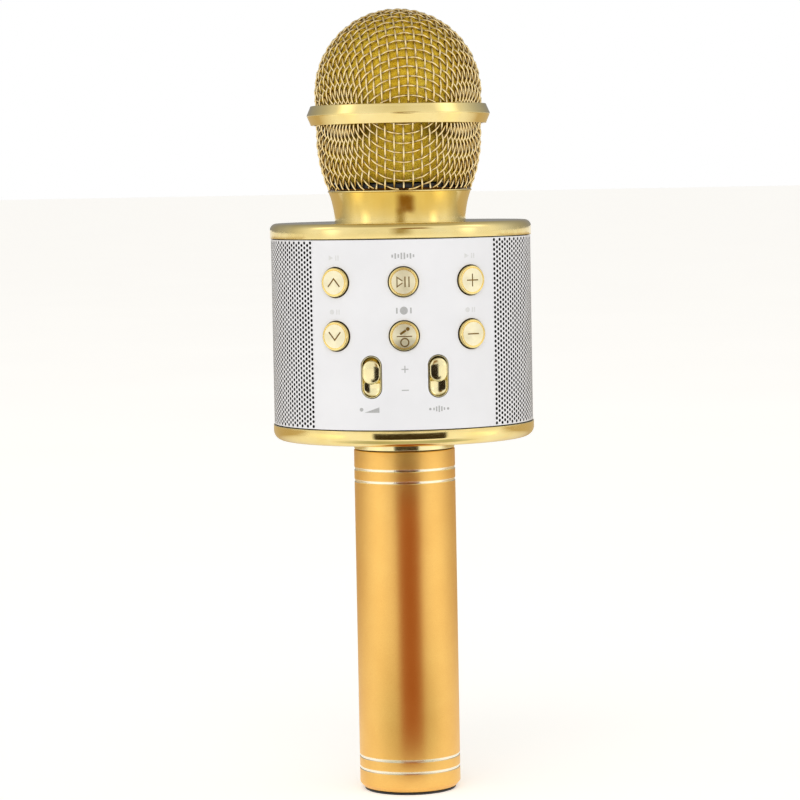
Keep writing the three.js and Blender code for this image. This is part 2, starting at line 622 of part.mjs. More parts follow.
const keySwitch = switchShape(BOARD_FACE, BOARD_FACE + 0.6);
for (const key of KEYS) {
  const holder = facing(key.azimuth, key.z);
  add(`${key.name}_button`, keyShape.clone(), 'goldChrome', holder);
  add(`${key.name}_switch`, keySwitch.clone(), 'blackPlastic', holder);
  microphone.add(holder);
}
const CONTROL_BOARD_HALF_ANGLE = 40;
const CONTROL_BOARD_Z = [125.5, 176.5];
add('control_board', wall(
  ...BOARD_RADII, -CONTROL_BOARD_HALF_ANGLE, CONTROL_BOARD_HALF_ANGLE, CONTROL_BOARD_Z, 14,
), 'board');

// ---- Sliders ------------------------------------------------------------------------------------
const TRAY_SPAN = [38.9, 42.3];
const TRAY_FLOOR = 0.6;
const LEVER = [1.2, 1.8];
const SLIDER_TRAVEL = 4.7;
const KNOB_SPAN = [39.8, 43.3];
const [trayWidth, trayHeight] = SLIDER_TRAY;
const trayCavity = pill(
  trayWidth - 2 * SLIDER_TRAY_WALL, trayHeight - 2 * SLIDER_TRAY_WALL,
  TRAY_SPAN[0] + TRAY_FLOOR, TRAY_SPAN[1] + PAST,
);
const leverSlit = outwardBlock(
  LEVER[0] + 2 * GAP, LEVER[1] + SLIDER_TRAVEL + 2 * GAP, TRAY_SPAN[0] - PAST, TRAY_SPAN[1],
);
const trayShape = toGeometry(cut(toSolid(pill(...SLIDER_TRAY, ...TRAY_SPAN)), [trayCavity, leverSlit]));
const knobShape = toGeometry(joined([
  pill(...SLIDER_KNOB, ...KNOB_SPAN),
  outwardBlock(...LEVER, TRAY_SPAN[0], KNOB_SPAN[0] + OVERLAP),
]));
const POT_SIZE = [4.4, 12];
const potShape = outwardBlock(...POT_SIZE, BOARD_FACE, TRAY_SPAN[0] - GAP);
for (const slider of SLIDERS) {
  const holder = facing(slider.azimuth, SLIDER_Z);
  add(`${slider.name}_slider_tray`, trayShape.clone(), 'goldChrome', holder);
  add(`${slider.name}_slider_pot`, potShape.clone(), 'blackPlastic', holder);
  add(`${slider.name}_slider_knob`, knobShape.clone(), 'goldChrome', holder).position.y = slider.rest;
  microphone.add(holder);
}

// ---- Main board, and the sockets on the rear board ----------------------------------------------
const MAIN_BOARD_Y = [12, 13.6];
const MAIN_BOARD_HALF_WIDTH = 14;
const MAIN_BOARD_Z = [127, 175];
const PART_FOOT_Y = MAIN_BOARD_Y[1] - OVERLAP;
const PROCESSOR = { x: [-6, 3], z: [146, 155], rise: 1.4 };
const CAPACITOR = { x: [5, 11], z: [132, 138], rise: 4.5 };
function boardPart({ x, z, rise }) {
  return block([x[0], PART_FOOT_Y, z[0]], [x[1], MAIN_BOARD_Y[1] + rise, z[1]]);
}

add('main_board', toGeometry(joined([
  block(
    [-MAIN_BOARD_HALF_WIDTH, MAIN_BOARD_Y[0], MAIN_BOARD_Z[0]],
    [MAIN_BOARD_HALF_WIDTH, MAIN_BOARD_Y[1], MAIN_BOARD_Z[1]],
  ),
  boardPart(PROCESSOR),
  boardPart(CAPACITOR),
])), 'board');

const PORT_BOARD_HALF_WIDTH = 13;
const PORT_BOARD_Z = [124.2, 177.8];
add('port_board', block(
  [-PORT_BOARD_HALF_WIDTH, PORT_BOARD_Y[0], PORT_BOARD_Z[0]],
  [PORT_BOARD_HALF_WIDTH, PORT_BOARD_Y[1], PORT_BOARD_Z[1]],
), 'board');

function rearPiece(name, geometry, colour, z) {
  const holder = facing(180, z);
  add(name, geometry, colour, holder);
  microphone.add(holder);
}

// A metal shell with a mouth that faces out and a tongue inside it.
const TONGUE_SETBACK = 1.2;
function socketShape([width, height], shellWall, depth, [tongueWidth, tongueHeight, tongueShift]) {
  const inside = [width - 2 * shellWall, height - 2 * shellWall];
  const floor = SOCKET_MOUTH - depth;
  const shell = cut(toSolid(outwardBlock(width, height, PORT_FACE, SOCKET_MOUTH)), [
    outwardBlock(...inside, floor, SOCKET_MOUTH + PAST),
  ]);
  const blade = outwardBlock(tongueWidth, tongueHeight, floor - PAST, SOCKET_MOUTH - TONGUE_SETBACK);
  return toGeometry(shell.add(toSolid(blade.translate(0, tongueShift, 0))));
}

rearPiece('power_button', keyShape.clone(), 'goldChrome', REAR_LAYOUT_Z.power);
const POWER_SWITCH_TOP = 34.6;
const LENS_FACE = DRUM_RADIUS + 0.1;
const USB_TONGUE = [11, 1.6, 0.9];
const CHARGE_TONGUE = [4, 0.6, 0.3];
const CARD_SIZE = [14, 2.6];
const CARD_SPAN = [PORT_FACE, 39.6];
const CARD_GAP = [11.4, 1.2];
const CARD_GAP_FLOOR = 33;
const JACK_FACE = DRUM_RADIUS - GAP;
const JACK_BORE = 1.8;
const JACK_FLOOR = 33.5;
rearPiece('power_switch', switchShape(PORT_FACE, POWER_SWITCH_TOP), 'blackPlastic', REAR_LAYOUT_Z.power);
rearPiece('status_lens', rod(LENS_RADIUS, PORT_FACE, LENS_FACE, LENS_ROUND), 'lens', REAR_LAYOUT_Z.lens);
rearPiece('usb_socket', socketShape(USB_SIZE, 0.4, 9, USB_TONGUE), 'steel', REAR_LAYOUT_Z.usb);
rearPiece('charging_socket', socketShape(CHARGE_SIZE, 0.35, 5, CHARGE_TONGUE), 'steel',
  REAR_LAYOUT_Z.charge);
rearPiece('card_slot', toGeometry(cut(toSolid(outwardBlock(...CARD_SIZE, ...CARD_SPAN)), [
  outwardBlock(...CARD_GAP, CARD_GAP_FLOOR, CARD_SPAN[1] + PAST),
])), 'steel', REAR_LAYOUT_Z.card);
rearPiece('audio_jack', turned([
  [0, PORT_FACE],
  [JACK_RADIUS, PORT_FACE],
  [JACK_RADIUS, JACK_FACE],
  [JACK_BORE, JACK_FACE],
  [JACK_BORE, JACK_FLOOR],
  [0, JACK_FLOOR],
], SMALL_ROUND), 'blackPlastic', REAR_LAYOUT_Z.jack);

// ---- Handle -------------------------------------------------------------------------------------
const [chamferIn, chamferUp] = FOOT_CHAMFER;
add('handle_tube', turnedRing([
  [HANDLE_BORE, HANDLE_FOOT_Z],
  [HANDLE_RADIUS - chamferIn, HANDLE_FOOT_Z],
  [HANDLE_RADIUS, HANDLE_FOOT_Z + chamferUp],
  [HANDLE_RADIUS, HANDLE_TOP_Z],
  [HANDLE_BORE, HANDLE_TOP_Z],
]), 'goldAnodised');

const COLLAR_RING_RADIUS = 16.4;
const INSERT_RADIUS = HANDLE_BORE - 0.4;
const COLLAR_RING_Z = [HANDLE_TOP_Z + GAP, DRUM_BOTTOM_Z - GAP];
const COLLAR_INSERT_Z = 102;
add('handle_collar', turnedRing([
  [LEAD_HOLE, COLLAR_INSERT_Z],
  [INSERT_RADIUS, COLLAR_INSERT_Z],
  [INSERT_RADIUS, COLLAR_RING_Z[0]],
  [COLLAR_RING_RADIUS, COLLAR_RING_Z[0]],
  [COLLAR_RING_RADIUS, COLLAR_RING_Z[1]],
  [SPIGOT_RADIUS, COLLAR_RING_Z[1]],
  [SPIGOT_RADIUS, CORE_Z[0] - GAP],
  [LEAD_HOLE, CORE_Z[0] - GAP],
]), 'goldChrome');

const PLUG_TOP_Z = 8;
const PLUG_WALL = 1.8;
const PLUG_FLOOR_Z = 2.5;
const BASE_EDGE = [0.4, 0.35]; // inwards, upwards
add('base_cap', turned([
  [0, 0],
  [BASE_CAP_RADIUS - BASE_EDGE[0], 0],
  [BASE_CAP_RADIUS, BASE_EDGE[1]],
  [BASE_CAP_RADIUS, HANDLE_FOOT_Z - GAP],
  [INSERT_RADIUS, HANDLE_FOOT_Z - GAP],
  [INSERT_RADIUS, PLUG_TOP_Z],
  [INSERT_RADIUS - PLUG_WALL, PLUG_TOP_Z],
  [INSERT_RADIUS - PLUG_WALL, PLUG_FLOOR_Z],
  [0, PLUG_FLOOR_Z],
]), 'blackPlastic');

const CARRIER_FLOOR_Z = [PLUG_TOP_Z + GAP, PLUG_TOP_Z + 2.8];
const CARRIER_BORE = BATTERY_RADIUS + 0.5;
const CARRIER_TOP_Z = 99;
add('battery_carrier', turned([
  [0, CARRIER_FLOOR_Z[0]],
  [INSERT_RADIUS, CARRIER_FLOOR_Z[0]],
  [INSERT_RADIUS, CARRIER_TOP_Z],
  [CARRIER_BORE, CARRIER_TOP_Z],
  [CARRIER_BORE, CARRIER_FLOOR_Z[1]],
  [0, CARRIER_FLOOR_Z[1]],
]), 'blackPlastic');

const CELL_FOOT_Z = CARRIER_FLOOR_Z[1] + GAP;
const CELL_TOP_Z = CELL_FOOT_Z + BATTERY_LENGTH;
const CELL_PIP = { radius: 2.8, height: 1.2 };
add('battery_cell', turned([
  [0, CELL_FOOT_Z],
  [BATTERY_RADIUS, CELL_FOOT_Z],
  [BATTERY_RADIUS, CELL_TOP_Z - CELL_PIP.height],
  [CELL_PIP.radius, CELL_TOP_Z - CELL_PIP.height],
  [CELL_PIP.radius, CELL_TOP_Z],
  [0, CELL_TOP_Z],
], SMALL_ROUND), 'cell');

// ---- Leads held inside --------------------------------------------------------------------------
const LEAD_RADIUS = 0.9;
const leadEndY = MAIN_BOARD_Y[0] - LEAD_RADIUS - GAP;
add('capsule_lead', tube([
  [0, 0, CAPSULE_BACK_Z - GAP],
  [0, 0.4, 188],
  [0, 3, 179.5],
  [0, 8, 172.5],
  [0, leadEndY, 166],
], LEAD_RADIUS, 8), 'lead');
add('battery_lead', tube([
  [0, 0, CELL_TOP_Z + GAP],
  [0, 0.5, 100],
  [0, 2, 120],
  [0, 7.5, 128],
  [0, leadEndY, 135],
], LEAD_RADIUS, 10), 'lead');

export default microphone;
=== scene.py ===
import math

import bpy
import numpy as np
from mathutils import Matrix, Vector, noise
from mathutils.geometry import delaunay_2d_cdt


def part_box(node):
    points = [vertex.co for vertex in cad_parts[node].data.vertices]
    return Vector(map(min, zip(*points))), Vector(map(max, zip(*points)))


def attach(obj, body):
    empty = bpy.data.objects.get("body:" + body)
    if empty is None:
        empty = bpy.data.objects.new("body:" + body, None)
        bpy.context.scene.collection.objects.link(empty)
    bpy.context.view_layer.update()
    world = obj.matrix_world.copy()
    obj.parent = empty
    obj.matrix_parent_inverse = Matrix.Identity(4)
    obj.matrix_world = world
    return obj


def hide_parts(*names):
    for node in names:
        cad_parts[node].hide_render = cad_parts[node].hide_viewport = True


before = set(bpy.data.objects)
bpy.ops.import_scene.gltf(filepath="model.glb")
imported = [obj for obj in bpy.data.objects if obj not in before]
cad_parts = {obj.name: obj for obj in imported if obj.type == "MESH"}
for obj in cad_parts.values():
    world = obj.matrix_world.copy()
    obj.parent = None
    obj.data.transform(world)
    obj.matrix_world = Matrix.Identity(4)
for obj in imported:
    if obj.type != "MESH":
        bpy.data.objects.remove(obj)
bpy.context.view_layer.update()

# Lengths are in millimetres until a mesh is written; the frame is in metres.
MM = 0.001
TURN = 2 * math.pi


# ---- Sizes read from the frame --------------------------------------------------------------
def extent(node):
    """Lowest and highest corner of a CAD node, in millimetres."""
    low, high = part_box(node)
    return low / MM, high / MM


def heights(node):
    low, high = extent(node)
    return low.z, high.z


def radius_of(node):
    """Outer radius of a node that is turned about the microphone's axis."""
    return extent(node)[1].x


BALL_RADIUS = radius_of("upper_grille")
BALL_CENTRE = heights("upper_grille")[1] - BALL_RADIUS
BASKET_RADIUS = radius_of("lower_grille")
BAND_LOW, BAND_HIGH = heights("grille_band")
BAND_RIDGE = radius_of("grille_band")
FOAM_FOOT = heights("foam_windscreen")[0]
COLLAR_FOOT, COLLAR_LIP = heights("neck_collar")
COLLAR_FLANGE = radius_of("neck_collar")
TOP_CAP_FOOT, DRUM_TOP = heights("top_cap")
DRUM_BOTTOM, BOTTOM_CAP_LIP = heights("bottom_cap")
CAP_RADIUS = radius_of("top_cap")
SKIN_LEVELS = heights("front_panel")
DRUM_RADIUS = -extent("front_panel")[0].y
HANDLE_RADIUS = radius_of("handle_tube")
HANDLE_FOOT, HANDLE_TOP = heights("handle_tube")
RING_RADIUS = radius_of("handle_collar")
RING_FOOT, RING_TOP = heights("handle_collar")

# Sizes that the looks add to the frame.
BASKET_BELLY = 214
BASKET_DROP = 34.5
PANEL_RADII = (DRUM_RADIUS - 1.8, DRUM_RADIUS)
FRONT_HALF_ANGLE = 42.5
REAR_HALF_ANGLE = 22
KEY_COLUMN = 30.15
KEY_ROWS = (167.7, 150.8)
KEY_HOLE = 4.9
KEY_RADIUS = 4.55
KEY_FACE = 43.45
SLIDER_AZIMUTH = 14.4
SLIDER_HEIGHT = 137.9
SLOT = (6.25, 13.1)
KNOB = (5.6, 7.56)
KNOB_REST = {"left": 1.5, "right": 2.0}
REAR_HEIGHTS = {"lens": 175, "power": 165.8, "usb": 153, "card": 143.6, "jack": 134.8, "charge": 126.9}
KEYS = {
    "up": (-KEY_COLUMN, KEY_ROWS[0]),
    "play": (0, KEY_ROWS[0]),
    "plus": (KEY_COLUMN, KEY_ROWS[0]),
    "down": (-KEY_COLUMN, KEY_ROWS[1]),
    "record": (0, KEY_ROWS[1]),
    "minus": (KEY_COLUMN, KEY_ROWS[1]),
}


# ---- Node graphs ----------------------------------------------------------------------------
class Graph:
    """A node tree and the set-ups that its users share."""

    def __init__(self, tree):
        self.tree = tree

    def add(self, kind, output, inputs=None, **settings):
        """Adds a node, sets or links its inputs and returns one of its outputs."""
        node = self.tree.nodes.new(kind)
        for key, value in settings.items():
            setattr(node, key, value)
        for key, value in (inputs or {}).items():
            self.feed(node.inputs[key], value)
        return node.outputs[output]

    def feed(self, socket, value):
        if isinstance(value, bpy.types.NodeSocket):
            self.tree.links.new(value, socket)
        else:
            socket.default_value = value

    def remap(self, value, low, high, source=(0.3, 0.7), **settings):
        span = {"From Min": source[0], "From Max": source[1], "To Min": low, "To Max": high}
        return self.add("ShaderNodeMapRange", "Result", {"Value": value, **span}, **settings)

    def blend(self, share, first, second):
        inputs = {"Factor": share, "A": first, "B": second}
        return self.add("ShaderNodeMix", "Result", inputs, data_type="RGBA")

    def calc(self, operation, first, second=0.0):
        return self.add("ShaderNodeMath", 0, {0: first, 1: second}, operation=operation)

    def split(self, vector):
        """The X, Y and Z outputs of a vector, by name."""
        return self.add("ShaderNodeSeparateXYZ", "X", {"Vector": vector}).node.outputs


class Finish(Graph):
    """A material's node tree, with textures whose sizes are in millimetres on the object."""

    def __init__(self, name):
        self.material = bpy.data.materials.new(name)
        self.material.use_nodes = True
        super().__init__(self.material.node_tree)
        self.place = self.add("ShaderNodeTexCoord", "Object")

    def set(self, **inputs):
        """Principled inputs by name, with _ for a space."""
        shader = self.tree.nodes["Principled BSDF"]
        for key, value in inputs.items():
            self.feed(shader.inputs[key.replace("_", " ")], value)

    def noise(self, size, detail=3.0, stretch=(1, 1, 1)):
        """Noise whose features are about `size` across."""
        place = self.add("ShaderNodeMapping", "Vector", {"Vector": self.place, "Scale": stretch})
        inputs = {"Vector": place, "Scale": 1 / (size * MM), "Detail": detail}
        return self.add("ShaderNodeTexNoise", "Fac", inputs)

    def cells(self, size, feature="F1"):
        inputs = {"Vector": self.place, "Scale": 1 / (size * MM)}
        return self.add("ShaderNodeTexVoronoi", "Distance", inputs, feature=feature)

    def waves(self, size, inputs=None, **settings):
        inputs = {"Vector": self.place, "Scale": TURN / (20 * size * MM), **(inputs or {})}
        return self.add("ShaderNodeTexWave", "Fac", inputs, **settings)

    def attribute(self, name):
        return self.add("ShaderNodeAttribute", "Fac", attribute_name=name)

    def bump(self, height, depth, strength=1.0):
        inputs = {"Height": height, "Distance": depth * MM, "Strength": strength}
        return self.add("ShaderNodeBump", "Normal", inputs)

    def radial_tangent(self):
        return self.add("ShaderNodeTangent", "Tangent", direction_type="RADIAL", axis="Z")


def linear(red, green, blue):
    """A display colour, 0 to 255, as scene-linear RGBA."""
    def channel(value):
        value /= 255
        return value / 12.92 if value <= 0.04045 else ((value + 0.055) / 1.055) ** 2.4

    return (channel(red), channel(green), channel(blue), 1.0)


def grey(level):
    return (level, level, level, 1)


def speckled(name, tones, blotch, gloss, grain, relief, depth, **inputs):
    """A material in two tones. blotch, grain and relief are the noises (size, detail) of its colour,
    its roughness and its bump; gloss is the roughness range and depth is the bump's."""
    g = Finish(name)
    g.set(
        Base_Color=g.blend(g.remap(g.noise(*blotch), 0, 1), *tones),
        Roughness=g.remap(g.noise(*grain), *gloss),
        Normal=g.bump(g.noise(*relief), depth),
        **inputs,
    )
    return g.material


# ---- Materials ------------------------------------------------------------------------------
def gold_wire():
    g = Finish("woven_gold_wire")
    plating = g.noise(1.4, 4)
    tone = g.blend(g.remap(plating, 0, 1), linear(250, 222, 158), linear(255, 238, 190))
    g.set(
        # Painted shade: the wire is darker where it dips under a crossing wire and on its inner side, by the
        # lift attribute.
        Base_Color=g.blend(g.remap(g.attribute("lift"), 0, 1, (0.26, 0.71)), linear(84, 54, 18), tone),
        Metallic=1.0,
        Roughness=g.remap(plating, 0.16, 0.28),
        Normal=g.bump(g.noise(0.12, 2), 0.012),
    )
    return g.material


def gold_chrome(name, deep, pale, gloss):
    return speckled(name, (deep, pale), (9, 4), (gloss, gloss + 0.08), (2.5, 5), (5, 1), 0.012, Metallic=1.0)


def spun_gold():
    g = Finish("spun_gold_key_face")
    rings = g.waves(0.09, {"Distortion": 1.5, "Detail Scale": 3.0}, wave_type="RINGS", rings_direction="Z")
    g.set(
        Base_Color=g.blend(g.remap(g.noise(2, 3), 0, 1), linear(238, 230, 196), linear(246, 238, 208)),
        Metallic=1.0,
        Roughness=g.remap(g.noise(1.2, 3), 0.32, 0.42),
        Anisotropic=0.75,
        Anisotropic_Rotation=0.25,
        Tangent=g.radial_tangent(),
        Normal=g.bump(rings, 0.006),
    )
    return g.material


def engraved_gold():
    # The engraving's floor is a darker gold: painted shade in the grooves.
    tones = linear(122, 94, 42), linear(150, 120, 62)
    return speckled(
        "engraved_key_groove_shade", tones, (0.5, 3), (0.35, 0.5), (0.2, 3), (0.1, 2), 0.01, Metallic=1.0
    )


def anodised_gold():
    g = Finish("gold_anodised")
    grain = g.noise(0.16, 2)
    body = g.blend(g.remap(g.noise(14, 4), 0, 1), linear(246, 198, 112), linear(252, 208, 121))
    g.set(
        Base_Color=g.blend(g.remap(grain, 0, 0.35), body, linear(220, 150, 64)),
        Metallic=1.0,
        Roughness=g.remap(grain, 0.33, 0.45),
        Normal=g.bump(grain, 0.012),
    )
    return g.material


def cut_aluminium():
    g = Finish("diamond_cut_ring")
    g.set(
        Base_Color=linear(252, 244, 222),
        Metallic=1.0,
        Roughness=g.remap(g.noise(0.5, 2), 0.12, 0.22),
        Anisotropic=0.6,
        Tangent=g.radial_tangent(),
        Normal=g.bump(g.noise(0.2, 2, (1, 1, 12)), 0.006),
    )
    return g.material


def mustard_foam():
    g = Finish("mustard_foam")
    pores = g.cells(0.5)
    lit = g.blend(g.remap(g.noise(7, 4), 0, 1), linear(218, 176, 38), linear(230, 200, 66))
    # The pores are darker than the lit foam between them: painted shade in the pores.
    cell = g.blend(g.remap(pores, 0, 1, (0.15, 0.5)), linear(184, 138, 22), lit)
    g.set(
        # Painted shade: darker where the sunk attribute is high, in the crease below the band and near the
        # foam's foot.
        Base_Color=g.blend(g.attribute("sunk"), cell, linear(70, 44, 4)),
        Roughness=0.95,
        Specular_IOR_Level=0.15,
        Sheen_Weight=0.2,
        Sheen_Tint=linear(230, 200, 90),
        Normal=g.bump(g.calc("ADD", pores, g.cells(0.3, "SMOOTH_F1")), 0.16, 0.8),
    )
    return g.material


def satin_white():
    tones = linear(227, 227, 230), linear(233, 233, 236)
    return speckled(
        "satin_white", tones, (18, 3), (0.36, 0.46), (0.4, 3), (0.25, 2), 0.006, Specular_IOR_Level=0.42
    )


def printed_ink(name, tone):
    g = Finish(name)
    g.set(
        Base_Color=g.blend(
            g.remap(g.noise(0.3, 3), 0, 1), linear(*(tone - 6,) * 3), linear(*(tone + 8,) * 3)
        ),
        Roughness=0.55,
        Normal=g.bump(g.noise(0.1, 2), 0.004),
    )
    return g.material


def perforated_white():
    tones = linear(226, 226, 229), linear(237, 237, 240)
    return speckled("speaker_mesh", tones, (6, 4), (0.38, 0.5), (0.5, 3), (0.2, 2), 0.008, Metallic=0.15)


def black_cloth():
    g = Finish("acoustic_cloth")
    threads = g.calc("ADD", g.waves(0.35, bands_direction="Z"), g.waves(0.35, bands_direction="DIAGONAL"))
    g.set(
        Base_Color=g.blend(g.remap(threads, 0, 1, (0.4, 1.6)), grey(0.004), (0.013, 0.013, 0.014, 1)),
        Roughness=0.95,
        Specular_IOR_Level=0.1,
        Sheen_Weight=0.1,
        Normal=g.bump(threads, 0.08),
    )
    return g.material


def black_plastic():
    tones = (0.010, 0.010, 0.011, 1), (0.018, 0.018, 0.019, 1)
    return speckled("black_plastic", tones, (5, 3), (0.42, 0.6), (0.3, 3), (0.3, 3), 0.015)


def grey_plastic():
    tones = linear(120, 122, 126), linear(140, 142, 146)
    return speckled("grey_plastic", tones, (6, 3), (0.5, 0.66), (0.4, 3), (0.3, 3), 0.02)


def soft_rubber():
    tones = (0.012, 0.012, 0.013, 1), (0.03, 0.03, 0.031, 1)
    return speckled("soft_rubber", tones, (3, 4), (0.78, 0.92), (3, 4), (0.15, 3), 0.02)


def bright_steel():
    tones = linear(176, 178, 182), linear(205, 207, 210)
    drawn = (0.5, 3, (1, 1, 0.08))
    return speckled("bright_steel", tones, (4, 4), (0.2, 0.34), drawn, drawn, 0.008, Metallic=1.0)


def circuit_board():
    g = Finish("circuit_board")
    mask = g.remap(g.cells(2.4, "DISTANCE_TO_EDGE"), 1, 0, (0.02, 0.05))
    g.set(
        Base_Color=g.blend(mask, linear(18, 82, 44), linear(42, 128, 72)),
        Roughness=g.remap(g.noise(1, 3), 0.28, 0.42),
        Normal=g.bump(mask, 0.03),
    )
    return g.material


def paper_cone():
    g = Finish("paper_cone")
    fibre = g.noise(0.6, 6)
    g.set(
        Base_Color=g.blend(g.remap(fibre, 0, 1), (0.018, 0.018, 0.02, 1), (0.05, 0.05, 0.052, 1)),
        Roughness=0.85,
        Normal=g.bump(fibre, 0.06),
    )
    return g.material


def clear_lens():
    g = Finish("clear_lens")
    g.set(
        Base_Color=linear(214, 232, 244),
        Roughness=g.remap(g.noise(0.5, 3), 0.12, 0.25),
        Transmission_Weight=0.35,
        Normal=g.bump(g.noise(0.3, 2), 0.01),
    )
    return g.material


def cell_wrap():
    tones = linear(40, 96, 170), linear(52, 112, 188)
    return speckled("cell_wrap", tones, (8, 3), (0.2, 0.32), (1, 3), (3, 2), 0.03, Coat_Weight=0.4)


def lead_insulation():
    tones = linear(132, 24, 24), linear(156, 34, 32)
    return speckled("lead_insulation", tones, (2, 3), (0.42, 0.58), (0.6, 3), (0.5, 3), 0.02)


WIRE = gold_wire()
CHROME = gold_chrome("gold_chrome", linear(238, 214, 142), linear(245, 225, 160), 0.06)
PALE_CHROME = gold_chrome("pale_gold_chrome", linear(240, 226, 172), linear(248, 236, 188), 0.12)
SPUN = spun_gold()
ENGRAVED = engraved_gold()
ANODISED = anodised_gold()
CUT_RING = cut_aluminium()
FOAM = mustard_foam()
WHITE = satin_white()
INK = printed_ink("printed_grey", 172)
FAINT_INK = printed_ink("printed_pale_grey", 214)
SHEET = perforated_white()
CLOTH = black_cloth()
BLACK = black_plastic()
GREY = grey_plastic()
RUBBER = soft_rubber()
STEEL = bright_steel()
BOARD = circuit_board()
CONE = paper_cone()
LENS = clear_lens()
WRAP = cell_wrap()
LEAD = lead_insulation()


# ---- Mesh building --------------------------------------------------------------------------
def linked(name, data):
    """An object of the data, in the scene."""
    obj = bpy.data.objects.new(name, data)
    bpy.context.scene.collection.objects.link(obj)
    return obj


def smooth(mesh, sharp):
    mesh.polygons.foreach_set("use_smooth", np.ones(len(mesh.polygons), bool))
    mesh.update()
    mesh.set_sharp_from_angle(angle=math.radians(sharp))


def piece(name, points, faces, materials, matrix=Matrix(), finish=None, sharp=30):
    """A smooth mesh object from points in millimetres. finish gives each face's material number."""
    mesh = bpy.data.meshes.new(name)
    mesh.from_pydata((np.asarray(points, float) * MM).tolist(), [], faces)
    for material in materials:
        mesh.materials.append(material)
    if finish is not None:
        mesh.polygons.foreach_set("material_index", np.asarray(finish, np.int32))
    smooth(mesh, sharp)
    obj = linked(name, mesh)
    obj.matrix_world = matrix
    return obj


def publish(obj, body, slot, *nodes):
    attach(obj, body)
    if nodes:
        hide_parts(*nodes)


def shifted(x, y, z=0):
    return Matrix.Translation((x * MM, y * MM, z * MM))


def turned(degrees, axis="Z"):
    return Matrix.Rotation(math.radians(degrees), 4, axis)


def facing(azimuth, z):
    """The local frame of a feature on the drum: X along the skin, Y up, Z out of the drum."""
    return shifted(0, 0, z) @ turned(azimuth) @ turned(90, "X")


def eased(corners, steps=5):
    """An outline whose corners (r, z, fillet) are rounded; a corner without a fillet stays sharp."""
    outline = []
    for i, corner in enumerate(corners):
        here = Vector(corner[:2])
        fillet = corner[2] if len(corner) > 2 else 0
        if not fillet:
            outline.append(here)
            continue
        back = (Vector(corners[i - 1][:2]) - here).normalized()
        ahead = (Vector(corners[(i + 1) % len(corners)][:2]) - here).normalized()
        half = back.angle(ahead) / 2
        centre = here + (back + ahead).normalized() * (fillet / math.sin(half))
        start = here + back * (fillet / math.tan(half)) - centre
        end = here + ahead * (fillet / math.tan(half)) - centre
        outline += [centre + start.slerp(end, k / steps) * fillet for k in range(steps + 1)]
    return outline


def revolve(name, outline, materials, segments=128, matrix=Matrix(), bands=None, sharp=30, shape=None):
    """Turns an outline, counter-clockwise round its material, about Z. An outline that starts and
    ends on the axis is left open there. bands(r, z) gives a face's material number, and shape moves
    a point (r, azimuth, z) to where it goes."""
    on_axis = [abs(p[0]) < 1e-6 for p in outline]
    points, rings, faces, finish = [], [], [], []
    for p, axis in zip(outline, on_axis):
        count = 1 if axis else segments
        rings.append(range(len(points), len(points) + count))
        for j in range(count):
            angle = TURN * j / segments
            r, z = shape(p[0], angle, p[1]) if shape else p
            points.append((r * math.cos(angle), r * math.sin(angle), z))
    for i in range(len(outline) - int(on_axis[0] and on_axis[-1])):
        after = (i + 1) % len(outline)
        low, high = rings[i], rings[after]
        number = bands(*(Vector(outline[i]) + Vector(outline[after])) / 2) if bands else 0
        for j in range(segments):
            k = (j + 1) % segments
            if len(low) == 1:
                faces.append((low[0], high[k], high[j]))
            elif len(high) == 1:
                faces.append((low[j], low[k], high[0]))
            else:
                faces.append((low[j], low[k], high[k], high[j]))
            finish.append(number)
    return piece(name, points, faces, materials, matrix, finish, sharp)


def lathe(name, outline, material, segments, slot, node, body="housing"):
    """A piece turned about the microphone's axis in one material, which replaces a CAD node."""
    publish(revolve(name, outline, [material], segments), body, slot, node)


def circle(radius, count=48):
    return [(radius * math.cos(TURN * i / count), radius * math.sin(TURN * i / count)) for i in range(count)]


def pill(width, height, count=64):
    """A stadium, counter-clockwise, taller than it is wide."""
    radius = width / 2
    reach = height / 2 - radius
    angles = np.linspace(0, math.pi, count // 2)
    top = [(radius * math.cos(a), reach + radius * math.sin(a)) for a in angles]
    return top + [(-x, -y) for x, y in top]


def block_outline(width, height, corner, count=6):
    """A rectangle with rounded corners, counter-clockwise."""
    points = []
    for quarter, (x, y) in enumerate(((1, 1), (-1, 1), (-1, -1), (1, -1))):
        for k in range(count + 1):
            angle = (quarter + k / count) * math.pi / 2
            points.append((
                x * (width / 2 - corner) + corner * math.cos(angle),
                y * (height / 2 - corner) + corner * math.sin(angle),
            ))
    return points


def loft(name, layers, materials, matrix=Matrix(), sharp=30):
    """A closed skin through outlines of equal count, each at its own depth along Z, capped at both
    ends by a fan."""
    count = len(layers[0][0])
    points = [(x, y, z) for outline, z in layers for x, y in outline]
    faces = []
    for i in range(len(layers) - 1):
        for j in range(count):
            k = (j + 1) % count
            faces.append((i * count + j, i * count + k, (i + 1) * count + k, (i + 1) * count + j))
    for i, flip in ((0, True), (len(layers) - 1, False)):
        ring = range(i * count, (i + 1) * count)
        middle = len(points)
        points.append(tuple(np.mean([points[v] for v in ring], axis=0)))
        for j in range(count):
            a, b = ring[j], ring[(j + 1) % count]
            faces.append((middle, b, a) if flip else (middle, a, b))
    return piece(name, points, faces, materials, matrix, sharp=sharp)


def joined(name, objects):
    """One object out of several, with their materials kept."""
    bpy.ops.object.select_all(action="DESELECT")
    for obj in objects:
        obj.select_set(True)
    bpy.context.view_layer.objects.active = objects[0]
    bpy.ops.object.join()
    objects[0].name = name
    return objects[0]


def carved(obj, cutters):
    """Cuts the cutters out of obj, and removes them."""
    for cutter in cutters:
        modifier = obj.modifiers.new("carve", "BOOLEAN")
        modifier.operation = "DIFFERENCE"
        modifier.object = cutter
        modifier.solver = "EXACT"
    bpy.context.view_layer.update()
    result = bpy.data.meshes.new_from_object(obj.evaluated_get(bpy.context.evaluated_depsgraph_get()))
    obj.modifiers.clear()
    obj.data = result
    for cutter in cutters:
        bpy.data.objects.remove(cutter)
    smooth(result, 30)
    return obj


